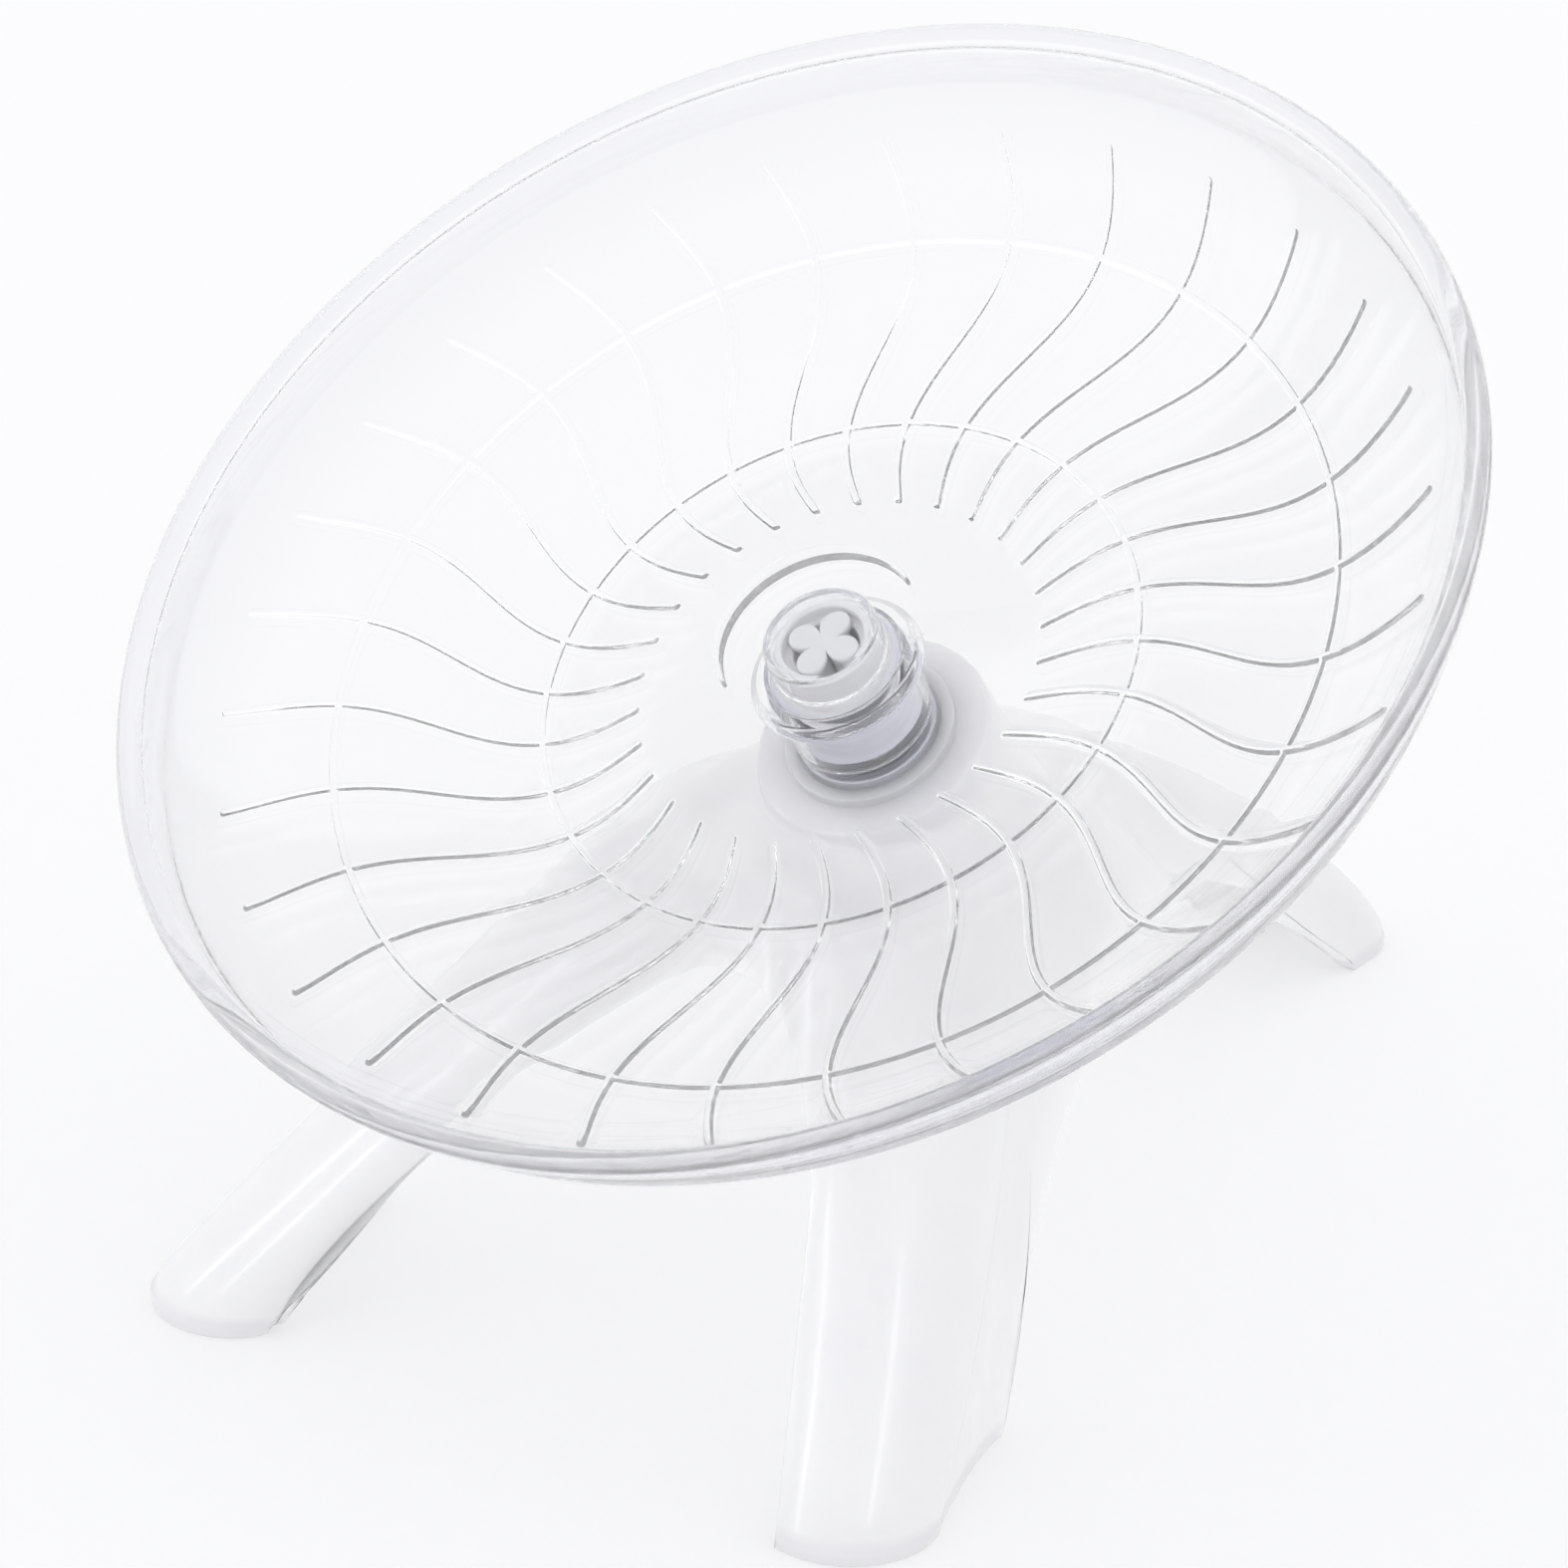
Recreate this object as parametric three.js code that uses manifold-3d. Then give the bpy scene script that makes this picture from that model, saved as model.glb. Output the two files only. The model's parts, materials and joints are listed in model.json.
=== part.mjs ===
// Flying-saucer exercise wheel: a clear ribbed saucer that spins on a ball bearing in a three-legged stand.
// Millimetres, +Z up. The low side of the saucer faces -Y, and the rear leg stands on +Y.
// Heights called "along the axis" are measured on the spin axis from the plane of the saucer's rim.
import * as THREE from 'three';
import { mergeVertices } from 'three/addons/utils/BufferGeometryUtils.js';
import Module from 'manifold-3d';

const wasm = await Module();
wasm.setup();

const { cos, sin, tan, acos, atan2, sqrt, abs, min, max, PI } = Math;
const deg = THREE.MathUtils.degToRad;
const lerp = THREE.MathUtils.lerp;

// Driving dimensions of the whole wheel
const RIM_RADIUS = 90;              // outside of the saucer's rolled lip
const TILT = deg(36);               // lean of the spin axis from the vertical
const RIM_HEIGHT = 98;              // centre of the rim above the floor
const GAP = 0.3;                    // clearance between neighbouring pieces

// Saucer, along the axis
const BOWL_DEPTH = 25.2;            // rim plane to the upper face of the floor
const FLOOR_RADIUS = 30;            // flat middle of the bowl
const BOWL_FULLNESS = 0.62;         // exponent of the wall's curve: lower is fuller
const WALL = 1.8;
const LIP_RADIUS = 1.7;             // bead rolled round the rim
const LIP_START = deg(171);         // direction in which the bead leaves the bowl, and how far it rolls
const LIP_ROLL = deg(261);
const INNER_ROWS = [35, 46.5, 53.5, 60.5, 73];      // radii of the running surface's rows of facets
const EDGE_ROWS = [84, 86.2];                       // of the plain band below the lip
const UNDERSIDE_ROWS = [86.8, 81, 71, 57, 41, 26];  // and of the underside
const BOSS_WALL = 1.3;              // moulded tube round the hub sleeve
const BOSS_TOP = -24.3;
const BOSS_BOTTOM = -36.2;

// Anti-slip ribs on the running surface
const RIB_COUNT = 30;
const RIB_OUTER = 80.4;
const RIB_INNER = 26.9;
const RIB_WIDTH = 1.3;
const RIB_HEIGHT = 0.8;
const RIB_WAVE = 55;                // wavelength of the rib's sideways wave
const RIB_SWAY = 3.9;               // half its sideways travel
const RIB_PHASE = deg(4.83);
const RIB_RUN_OUT = 1;              // length in which each end sinks into the bowl
const RING_RADII = [40.2, 67.1];    // the two ring ribs
const RING_WIDTH = 1.1;
const RING_HEIGHT = 0.6;

// Crescent rib on the floor beside the hub: a half-moon arc that tapers to both tips
const CRESCENT_OFFSET = 6.4;        // hub to the centre of the arc
const CRESCENT_RADIUS = 13.6;
const CRESCENT_WIDTH = 2.2;
const CRESCENT_TIP = 0.4;
const CRESCENT_HEIGHT = 1.2;
const CRESCENT_MIDDLE = deg(144);   // direction from the hub, measured from +X towards the high side

// Hub sleeve, cap and spindle, along the axis
const SLEEVE_RADIUS = 8.0;
const SLEEVE_BOTTOM = -35.1;
const SLEEVE_SHOULDER = -24.6;
const SLEEVE_NECK = 6.5;
const SLEEVE_TOP = -19.6;
const CAP_TOP = -17.7;
const CAP_BOTTOM = BOSS_TOP + GAP;
const CAP_WALL = 0.9;
const CAP_SKIRT = 9.4;              // radius of the flared foot of the cap
const CAP_SKIRT_HEIGHT = 1.4;
const CAP_EDGE = 0.5;               // chamfer round its top and its foot
const VANE_REACH = 4.1;             // the spindle's cross-shaped post
const VANE_THICKNESS = 1.5;
const SPINDLE_TOP = -19.9;
const FLANGE_RADIUS = 5.2;

// Ball bearing, 8 x 19 x 6
const BEARING_BORE = 4.0;
const BEARING_OUTSIDE = 9.5;
const BEARING_WIDTH = 6.0;
const BEARING_TOP = -38.0;
const BALL_COUNT = 8;
const BALL_RADIUS = 1.59;
const BALL_PITCH = 6.75;
const LAND_STEP = 1.3;              // pitch circle to the shoulders of both raceways
const CAGE_THICKNESS = 1.2;
const CAGE_BOTTOM = -2.3;           // from the middle of the bearing
const CAGE_TOP = 0.7;
const SHIELD_THICKNESS = 0.3;
const SHIELD_INSET = 0.1;

// Screw and washer below the bearing
const WASHER_RADIUS = 5.0;
const WASHER_THICKNESS = 1.0;
const SCREW_RADIUS = 1.5;
const SCREW_HEAD_RADIUS = 2.8;
const SCREW_HEAD_HEIGHT = 1.8;
const SCREW_LENGTH = 8.5;
const SLOT_WIDTH = 0.7;             // cross recess in the screw's head
const SLOT_REACH = 1.6;
const SLOT_DEPTH = 0.9;

// Stand: one moulding, a three-lobed bell with an arch cut between each pair of legs.
// Heights are above the floor, distances from the vertical below the neck.
const NECK_RADIUS = 16.2;
const NECK_TOP = -40.5;             // along the axis
const NECK_EDGE = 0.8;              // rounding of the neck's upper edge
const NECK_FLARE = 0.6;
const NECK_SHORT = 1.3;             // length of the neck on its low side
const NECK_LONG = 12.5;             // and on its high side
const COLLAR_RADIUS = 11.6;         // raised ring round the bearing
const COLLAR_TOP = -39.0;
const SEAT_LEDGE = 2.0;             // ledge that the bearing rests on
const SEAT_HOLE = 7.0;
const STAND_WALL = 2.4;
const WALL_ROWS = [49.5, 45, 38, 29, 19, 9];        // heights of the bell's rows of facets
const SHOULDER_HEIGHT = 51;
const SHOULDER_RISE = 3.2;          // height and distance in which the deck rolls over the shoulder
const DECK_INSET = 6;
const DECK_STEPS = [0.2, 0.6];      // rows of facets from the neck's foot to the deck's edge
const DECK_DIP = 0.6;               // hollow of the fillet at the neck's foot
const WEB_FOOT = 61;                // radius of the wall between the legs, at the floor
const WEB_SHOULDER = 33;
const FOOT_HALF_WIDTH = 11;
const LEG_HALF_WIDTH = 13;          // at the shoulder
const LEG_SWEEP = deg(7);           // turn of each leg round the neck from its foot up to the shoulder
const FOOT_BAND = 2;                // upright band round each foot
const INSIDE_ROWS = [3, 5, 7, 9, 11, 13];           // rows of the bell's outside that its inside follows
const SECTION_POWER = 6;            // sharpness of the blend between legs and webs
const NOSE_COLUMNS = 8;             // facets round the nose of each leg, and across each web
const WEB_COLUMNS = 15;
const WEB_CROWDING = 0.6;           // how much closer they stand beside the legs
// Each leg's direction from the low side, its reach at the floor and at the shoulder, how full its ridge is,
// and the flare of its two flanks
const LEGS = [
  { azimuth: deg(-30.3), reach: 98, shoulder: 44, bulge: 1.08, flares: [deg(12), deg(3)] },
  { azimuth: deg(34.2), reach: 97, shoulder: 44, bulge: 1.08, flares: [deg(3), deg(12)] },
  { azimuth: deg(176.6), reach: 122, shoulder: 50, bulge: 1.4, flares: [deg(4), deg(4)] },
];
const ARCH_HEIGHT = 46.5;
const ARCH_START = 14;              // distance from the neck's vertical at which each cut starts
const ARCH_DEPTH = 120;
// Each arch's direction, and the reach and fullness of its two sides
const ARCHES = [
  { azimuth: deg(4), left: { reach: 40, power: 1.25 }, right: { reach: 33.5, power: 2.4 } },
  { azimuth: deg(105), left: { reach: 56, power: 1.6 }, right: { reach: 97, power: 1.25 } },
  { azimuth: deg(253), left: { reach: 97, power: 1.25 }, right: { reach: 56, power: 1.6 } },
];

// Materials
const plastic = (name, color, roughness) => new THREE.MeshStandardMaterial({
  name, color, roughness, metalness: 0,
});
const clear = (name) => new THREE.MeshStandardMaterial({
  name, color: 0xeef0f6, roughness: 0.08, metalness: 0, transparent: true, opacity: 0.45,
});
const metal = (name, color) => new THREE.MeshStandardMaterial({ name, color, roughness: 0.25, metalness: 1 });
const MATERIALS = {
  clearSaucer: clear('clear_saucer'),
  clearCap: clear('clear_cap'),
  sleeveGrey: plastic('sleeve_grey', 0xb9bacb, 0.45),
  spindleWhite: plastic('spindle_white', 0xd4d6de, 0.4),
  frostedStand: plastic('frosted_stand', 0xe6e6ee, 0.5),
  cageNylon: plastic('cage_nylon', 0xcfc9b8, 0.6),
  steel: metal('bearing_steel', 0x9a9ca4),
  zinc: metal('zinc_screw', 0xb4b6b8),
};

// Solids

// Triangles between two rings of points, also where one ring has twice the count of the other
function joinRings(indices, a, countA, b, countB) {
  const count = min(countA, countB);
  for (let i = 0; i < count; i++) {
    const j = (i + 1) % count;
    if (countA === countB) {
      indices.push(a + i, a + j, b + j, a + i, b + j, b + i);
    } else if (countA > countB) {
      const [a0, a1, a2] = [2 * i, 2 * i + 1, (2 * i + 2) % countA];
      indices.push(a + a0, a + a1, b + i, a + a1, b + j, b + i, a + a1, a + a2, b + j);
    } else {
      const [b0, b1, b2] = [2 * i, 2 * i + 1, (2 * i + 2) % countB];
      indices.push(a + i, b + b1, b + b0, a + i, a + j, b + b1, a + j, b + b2, b + b1);
    }
  }
}

// Skin over stacked rings of points. With caps, each end closes on its own middle. Without, the last ring
// joins the first, so the solid has a hole through it.
function loft(rings, capped) {
  const positions = [];
  const indices = [];
  const starts = rings.map((ring) => {
    const start = positions.length / 3;
    ring.forEach((point) => positions.push(point.x, point.y, point.z));
    return start;
  });
  const joints = capped ? rings.length - 1 : rings.length;
  for (let i = 0; i < joints; i++) {
    const next = (i + 1) % rings.length;
    joinRings(indices, starts[i], rings[i].length, starts[next], rings[next].length);
  }
  if (capped) {
    [[0, 1, 0], [rings.length - 1, 0, 1]].forEach(([end, first, second]) => {
      const ring = rings[end];
      const middle = new THREE.Vector3();
      ring.forEach((point) => middle.addScaledVector(point, 1 / ring.length));
      const centre = positions.push(middle.x, middle.y, middle.z) / 3 - 1;
      ring.forEach((_, i) => {
        const pair = [starts[end] + i, starts[end] + (i + 1) % ring.length];
        indices.push(centre, pair[first], pair[second]);
      });
    });
  }
  const geometry = new THREE.BufferGeometry();
  geometry.setAttribute('position', new THREE.Float32BufferAttribute(positions, 3));
  geometry.setIndex(indices);
  return geometry;
}

// Solid of revolution about +Z from [radius, height] points. The outline ends on the axis or closes on itself,
// and a clockwise one is reversed, so that the faces always point outwards.
function revolve(outline, segments) {
  const points = outline.map(([radius, height]) => new THREE.Vector2(radius, height));
  if (THREE.ShapeUtils.area(points) < 0) points.reverse();
  return new THREE.LatheGeometry(points, segments).rotateX(PI / 2);
}

// Solid ring between two radii and two heights
function ring(inner, outer, bottom, top, segments) {
  return revolve([[inner, bottom], [outer, bottom], [outer, top], [inner, top], [inner, bottom]], segments);
}

function disc(radius, bottom, top, segments) {
  return revolve([[0, bottom], [radius, bottom], [radius, top], [0, top]], segments);
}

function block(width, depth, bottom, top) {
  return new THREE.BoxGeometry(width, depth, top - bottom).translate(0, 0, (top + bottom) / 2);
}

// Solid for the boolean operations, turned right side out if its faces point inwards
function toSolid(geometry) {
  const source = geometry.clone();
  source.deleteAttribute('normal');
  source.deleteAttribute('uv');
  const merged = mergeVertices(source, 1e-4);
  const corners = merged.index.array;
  const kept = [];
  for (let i = 0; i < corners.length; i += 3) {
    const [p, q, r] = corners.slice(i, i + 3);
    if (p !== q && q !== r && r !== p) kept.push(p, q, r);
  }
  const solid = manifoldOf(merged.attributes.position.array, kept);
  return solid.volume() < 0 ? manifoldOf(merged.attributes.position.array, kept.toReversed()) : solid;
}

function manifoldOf(positions, triangles) {
  return new wasm.Manifold(new wasm.Mesh({
    numProp: 3, vertProperties: new Float32Array(positions), triVerts: new Uint32Array(triangles),
  }));
}

function toGeometry(solid) {
  const { vertProperties, triVerts } = solid.getMesh();
  const geometry = new THREE.BufferGeometry();
  geometry.setAttribute('position', new THREE.BufferAttribute(new Float32Array(vertProperties), 3));
  geometry.setIndex(new THREE.BufferAttribute(new Uint32Array(triVerts), 1));
  return geometry;
}

// First geometry joined with the ones of `added` and cut by the ones of `removed`
function carve(first, added, removed) {
  const joined = added.reduce((solid, geometry) => solid.add(toSolid(geometry)), toSolid(first));
  return toGeometry(removed.reduce((solid, geometry) => solid.subtract(toSolid(geometry)), joined));
}

function named(name, geometry, material) {
  const mesh = new THREE.Mesh(geometry, material);
  mesh.name = name;
  return mesh;
}

// Saucer

// Height of the bowl's upper face at a radius: flat floor, then a full curve up to the rim.
function bowlHeight(radius) {
  const s = max(0, radius - FLOOR_RADIUS) / (RIM_RADIUS - FLOOR_RADIUS);
  return -BOWL_DEPTH * (1 - min(1, s) ** 2) ** BOWL_FULLNESS;
}

// Angle that a rib has drifted sideways at a radius, from a sine wave of fixed width.
function ribDrift(radius) {
  const clamped = min(RIB_OUTER, max(RIB_INNER, radius));
  return -RIB_SWAY * sin(2 * PI * (RIB_OUTER - clamped) / RIB_WAVE) / clamped;
}

// One ring of the upper face, with four points per rib: its crest, its foot, the gap's middle, the next foot.
// Its ribs stand at full height or lie flat in the bowl, and the lift raises the whole ring.
function runningRing(radius, ribs, lift) {
  const points = [];
  const foot = RIB_WIDTH / 2 / radius;
  const height = bowlHeight(radius) + lift;
  const crest = ribs === 'full' ? bowlHeight(radius) + RIB_HEIGHT : height;
  for (let rib = 0; rib < RIB_COUNT; rib++) {
    const middle = RIB_PHASE + 2 * PI * rib / RIB_COUNT + ribDrift(radius);
    const pitch = 2 * PI / RIB_COUNT;
    [[0, crest], [foot, height], [pitch / 2, height], [pitch - foot, height]].forEach(([a, z]) => {
      points.push(new THREE.Vector3(radius * cos(middle + a), radius * sin(middle + a), z));
    });
  }
  return points;
}

// Plain ring with two points per rib
function plainRing(radius, height, drift) {
  return Array.from({ length: 2 * RIB_COUNT }, (_, i) => {
    const a = RIB_PHASE + PI * i / RIB_COUNT + drift;
    return new THREE.Vector3(radius * cos(a), radius * sin(a), height);
  });
}

// Rows that lift a ring rib out of the bowl, each with its radius, its ribs and its lift
function ringRows(radius) {
  const half = RING_WIDTH / 2;
  return [[radius - half, 'full', 0], [radius, 'full', RING_HEIGHT], [radius + half, 'full', 0]];
}

function crescentGeometry() {
  const steps = 18;
  const outline = new THREE.Shape();
  const arc = (side) => Array.from({ length: steps + 1 }, (_, i) => {
    const s = i / steps;
    const width = lerp(CRESCENT_TIP, CRESCENT_WIDTH, sin(PI * s));
    const radius = CRESCENT_RADIUS + side * width / 2;
    const a = CRESCENT_MIDDLE + PI * (s - 0.5);
    return new THREE.Vector2(radius * cos(a), radius * sin(a));
  });
  outline.setFromPoints([...arc(1), ...arc(-1).reverse()]);
  const depth = CRESCENT_HEIGHT + WALL / 2;
  const geometry = new THREE.ExtrudeGeometry(outline, { depth, bevelEnabled: false });
  const [x, y] = [CRESCENT_OFFSET * cos(CRESCENT_MIDDLE), CRESCENT_OFFSET * sin(CRESCENT_MIDDLE)];
  return geometry.translate(x, y, -BOWL_DEPTH - WALL / 2);
}

// The skin runs out over the upper face, round the lip, back along the underside and round the hub's boss.
function saucerGeometry() {
  const [floorRow, ...wallRows] = INNER_ROWS;
  const crossed = (radius) => [radius, 'full', 0];
  const upper = [
    [RIB_INNER - RIB_RUN_OUT / 2, 'flat', 0], crossed(RIB_INNER + RIB_RUN_OUT / 2), crossed(FLOOR_RADIUS),
    crossed(floorRow), ...ringRows(RING_RADII[0]), ...wallRows.slice(0, -1).map(crossed),
    ...ringRows(RING_RADII[1]), crossed(wallRows.at(-1)),
    crossed(RIB_OUTER - RIB_RUN_OUT), [RIB_OUTER, 'flat', 0],
  ];
  const rings = upper.map((row) => runningRing(...row));
  const outerDrift = ribDrift(RIM_RADIUS);
  EDGE_ROWS.forEach((radius) => rings.push(plainRing(radius, bowlHeight(radius), outerDrift)));
  const bead = RIM_RADIUS - LIP_RADIUS;
  const beadSteps = 5;
  for (let i = 0; i <= beadSteps; i++) {
    const a = LIP_START - LIP_ROLL * i / beadSteps;
    rings.push(plainRing(bead + LIP_RADIUS * cos(a), LIP_RADIUS * (sin(a) - 1), outerDrift));
  }
  const bore = SLEEVE_RADIUS + GAP;
  const boss = bore + BOSS_WALL;
  [...UNDERSIDE_ROWS, boss].forEach((radius) => {
    rings.push(plainRing(radius, bowlHeight(radius - WALL / 2) - WALL, outerDrift));
  });
  [[boss, BOSS_BOTTOM], [bore, BOSS_BOTTOM], [bore, BOSS_TOP], [boss + 1, BOSS_TOP], [boss + 2, -BOWL_DEPTH]]
    .forEach(([radius, height]) => rings.push(plainRing(radius, height, ribDrift(0))));
  return carve(loft(rings, false), [crescentGeometry()], []);
}

// Hub: cap, sleeve and spindle

function capGeometry() {
  const inside = SLEEVE_NECK + GAP;
  const outside = inside + CAP_WALL;
  const shoulder = CAP_BOTTOM + CAP_SKIRT_HEIGHT;
  return revolve([
    [0, CAP_TOP], [outside - CAP_EDGE, CAP_TOP], [outside, CAP_TOP - CAP_EDGE],
    [outside, shoulder + CAP_EDGE], [outside + CAP_EDGE / 2, shoulder],
    [CAP_SKIRT, CAP_BOTTOM + CAP_EDGE], [CAP_SKIRT, CAP_BOTTOM],
    [inside, CAP_BOTTOM], [inside, CAP_TOP - CAP_WALL], [0, CAP_TOP - CAP_WALL],
  ], 32);
}

function sleeveGeometry() {
  const bore = VANE_REACH + GAP;
  return revolve([
    [bore, SLEEVE_BOTTOM], [SLEEVE_RADIUS, SLEEVE_BOTTOM], [SLEEVE_RADIUS, SLEEVE_SHOULDER],
    [SLEEVE_NECK, SLEEVE_SHOULDER], [SLEEVE_NECK, SLEEVE_TOP], [bore, SLEEVE_TOP], [bore, SLEEVE_BOTTOM],
  ], 32);
}

// Cross-shaped post above a flange, and a journal through the bearing with a pilot hole for the screw
function spindleGeometry() {
  const flangeTop = SLEEVE_BOTTOM - GAP;
  const flangeBottom = BEARING_TOP + GAP;
  const journalEnd = BEARING_TOP - BEARING_WIDTH + GAP;
  const vane = [2 * VANE_REACH, VANE_THICKNESS];
  const screwTop = washerBottom() - GAP + SCREW_LENGTH;
  return carve(
    disc(FLANGE_RADIUS, flangeBottom, flangeTop, 24),
    [
      disc(BEARING_BORE - GAP, journalEnd, flangeBottom + 0.5, 24),
      block(...vane, flangeTop - 0.5, SPINDLE_TOP),
      block(...vane.toReversed(), flangeTop - 0.5, SPINDLE_TOP),
    ],
    [disc(SCREW_RADIUS + GAP, journalEnd - 1, screwTop + GAP, 12)],
  );
}

// Ball bearing, about the middle of its width

function bearingMiddle() {
  return BEARING_TOP - BEARING_WIDTH / 2;
}

// Raceway ring: a plain side, two shoulders and a round groove that clears the balls
function raceGeometry(plainSide, facing) {
  const half = BEARING_WIDTH / 2;
  const land = BALL_PITCH + facing * LAND_STEP;
  const grooveRadius = BALL_RADIUS + GAP;
  const start = acos(LAND_STEP / grooveRadius);
  const steps = 4;
  const groove = Array.from({ length: steps + 1 }, (_, i) => {
    const a = -start + 2 * start * i / steps;
    return [BALL_PITCH + facing * grooveRadius * cos(a), grooveRadius * sin(a)];
  });
  return revolve([
    [plainSide, -half], [land, -half], ...groove, [land, half], [plainSide, half], [plainSide, -half],
  ], 24);
}

function ballPlaces() {
  return Array.from({ length: BALL_COUNT }, (_, i) => {
    const a = 2 * PI * (i + 0.5) / BALL_COUNT;
    return new THREE.Vector3(BALL_PITCH * cos(a), BALL_PITCH * sin(a), 0);
  });
}

// Crown cage with a round pocket for each ball, open on its upper side
function cageGeometry() {
  const half = CAGE_THICKNESS / 2;
  const pocketRadius = BALL_RADIUS + GAP;
  const pockets = ballPlaces().map((place) => (
    new THREE.CylinderGeometry(pocketRadius, pocketRadius, 2 * CAGE_THICKNESS, 12)
      .rotateZ(atan2(place.y, place.x) - PI / 2).translate(place.x, place.y, place.z)
  ));
  return carve(ring(BALL_PITCH - half, BALL_PITCH + half, CAGE_BOTTOM, CAGE_TOP, 24), [], pockets);
}

function shieldGeometry() {
  return ring(BALL_PITCH - LAND_STEP + GAP, BALL_PITCH + LAND_STEP - GAP, 0, SHIELD_THICKNESS, 24);
}

function bearingPieces() {
  const bearing = new THREE.Group();
  const half = BEARING_WIDTH / 2;
  bearing.add(named('bearing_inner_ring', raceGeometry(BEARING_BORE, -1), MATERIALS.steel));
  bearing.add(named('bearing_outer_ring', raceGeometry(BEARING_OUTSIDE, 1), MATERIALS.steel));
  bearing.add(named('bearing_cage', cageGeometry(), MATERIALS.cageNylon));
  ballPlaces().forEach((place, i) => {
    const sphere = new THREE.IcosahedronGeometry(BALL_RADIUS, 1);
    const ball = named(`bearing_ball_${i + 1}`, sphere, MATERIALS.steel);
    ball.position.copy(place);
    bearing.add(ball);
  });
  const upper = named('bearing_shield_upper', shieldGeometry(), MATERIALS.steel);
  upper.position.z = half - SHIELD_INSET - SHIELD_THICKNESS;
  const lower = named('bearing_shield_lower', shieldGeometry(), MATERIALS.steel);
  lower.position.z = SHIELD_INSET - half;
  bearing.add(upper, lower);
  bearing.position.z = bearingMiddle();
  return bearing;
}

// Screw and washer

function washerTop() {
  return BEARING_TOP - BEARING_WIDTH - GAP;
}

function washerBottom() {
  return washerTop() - WASHER_THICKNESS;
}

function washerGeometry() {
  return ring(SCREW_RADIUS + GAP, WASHER_RADIUS, washerBottom(), washerTop(), 24);
}

function screwGeometry() {
  const headTop = washerBottom() - GAP;
  const headBottom = headTop - SCREW_HEAD_HEIGHT;
  const slot = [2 * SLOT_REACH, SLOT_WIDTH];
  return carve(
    revolve([
      [0, headBottom], [SCREW_HEAD_RADIUS - 0.8, headBottom], [SCREW_HEAD_RADIUS, headBottom + 1],
      [SCREW_HEAD_RADIUS, headTop], [SCREW_RADIUS, headTop], [SCREW_RADIUS, headTop + SCREW_LENGTH - 1],
      [SCREW_RADIUS / 3, headTop + SCREW_LENGTH], [0, headTop + SCREW_LENGTH],
    ], 16),
    [],
    [slot, slot.toReversed()].map(([x, y]) => block(x, y, headBottom - 1, headBottom + SLOT_DEPTH)),
  );
}

// Stand

// Point on the spin axis, in the stand's upright frame
function onAxis(along) {
  return new THREE.Vector3(0, -along * sin(TILT), RIM_HEIGHT + along * cos(TILT));
}

// Point of a circle round the spin axis; the azimuth runs from the low side (-Y) towards +X.
function onTiltedCircle(azimuth, radius, along) {
  const [x, slope] = [radius * sin(azimuth), -radius * cos(azimuth)];
  return onAxis(along).add(new THREE.Vector3(x, slope * cos(TILT), slope * sin(TILT)));
}

// Point at an azimuth round the vertical below the neck
function atAzimuth(azimuth, radius, height) {
  return new THREE.Vector3(radius * sin(azimuth), neckY() - radius * cos(azimuth), height);
}

function neckY() {
  return onAxis(NECK_TOP).y;
}

function rise(height) {
  return max(0, height - FOOT_BAND) / (SHOULDER_HEIGHT - FOOT_BAND);
}

// Polar radius of one leg's section: straight flanks that close on a round nose
function legRadius(leg, azimuth, height) {
  const half = lerp(FOOT_HALF_WIDTH, LEG_HALF_WIDTH, rise(height));
  const centre = lerp(leg.reach, leg.shoulder, rise(height) ** leg.bulge) - half;
  const signed = atan2(sin(azimuth - leg.azimuth), cos(azimuth - leg.azimuth));
  const angle = abs(signed);
  if (angle < atan2(half, centre)) return centre * cos(angle) + sqrt(half ** 2 - (centre * sin(angle)) ** 2);
  if (angle > PI / 2) return 0;
  const slope = tan(leg.flares[signed < 0 ? 0 : 1]);
  return (half + centre * slope) / (sin(angle) + cos(angle) * slope);
}

// Polar radius of the whole section: the legs and the round web between them, blended
function sectionRadius(azimuth, height) {
  const web = WEB_FOOT - (WEB_FOOT - WEB_SHOULDER) * (max(0, height) / SHOULDER_HEIGHT) ** 2;
  const parts = [web, ...LEGS.map((leg) => legRadius(leg, azimuth, height))];
  return parts.reduce((sum, part) => sum + part ** SECTION_POWER, 0) ** (1 / SECTION_POWER);
}

// Point of the section at a height, which turns round the neck as it rises
function onSection(azimuth, height, sectionHeight = height, inset = 0) {
  const turned = azimuth + LEG_SWEEP * min(1, rise(height));
  return atAzimuth(turned, sectionRadius(azimuth, sectionHeight) - inset, height);
}

// Azimuths of the bell's columns: evenly round each foot's nose, and closer together beside the legs
function columnAzimuths() {
  return LEGS.flatMap((leg, i) => {
    const next = LEGS[(i + 1) % LEGS.length];
    const edge = (other) => atan2(FOOT_HALF_WIDTH, other.reach - FOOT_HALF_WIDTH);
    const nose = Array.from({ length: NOSE_COLUMNS + 1 }, (_, k) => {
      const a = PI * (k / NOSE_COLUMNS - 0.5);
      const [along, across] = [leg.reach - FOOT_HALF_WIDTH * (1 - cos(a)), FOOT_HALF_WIDTH * sin(a)];
      return leg.azimuth + atan2(across, along);
    });
    const start = leg.azimuth + edge(leg);
    const end = next.azimuth + (i === LEGS.length - 1 ? 2 * PI : 0) - edge(next);
    const web = Array.from({ length: WEB_COLUMNS - 1 }, (_, k) => {
      const s = (k + 1) / WEB_COLUMNS;
      return lerp(start, end, s - WEB_CROWDING * sin(2 * PI * s) / (2 * PI));
    });
    return [...nose, ...web];
  });
}

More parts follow.
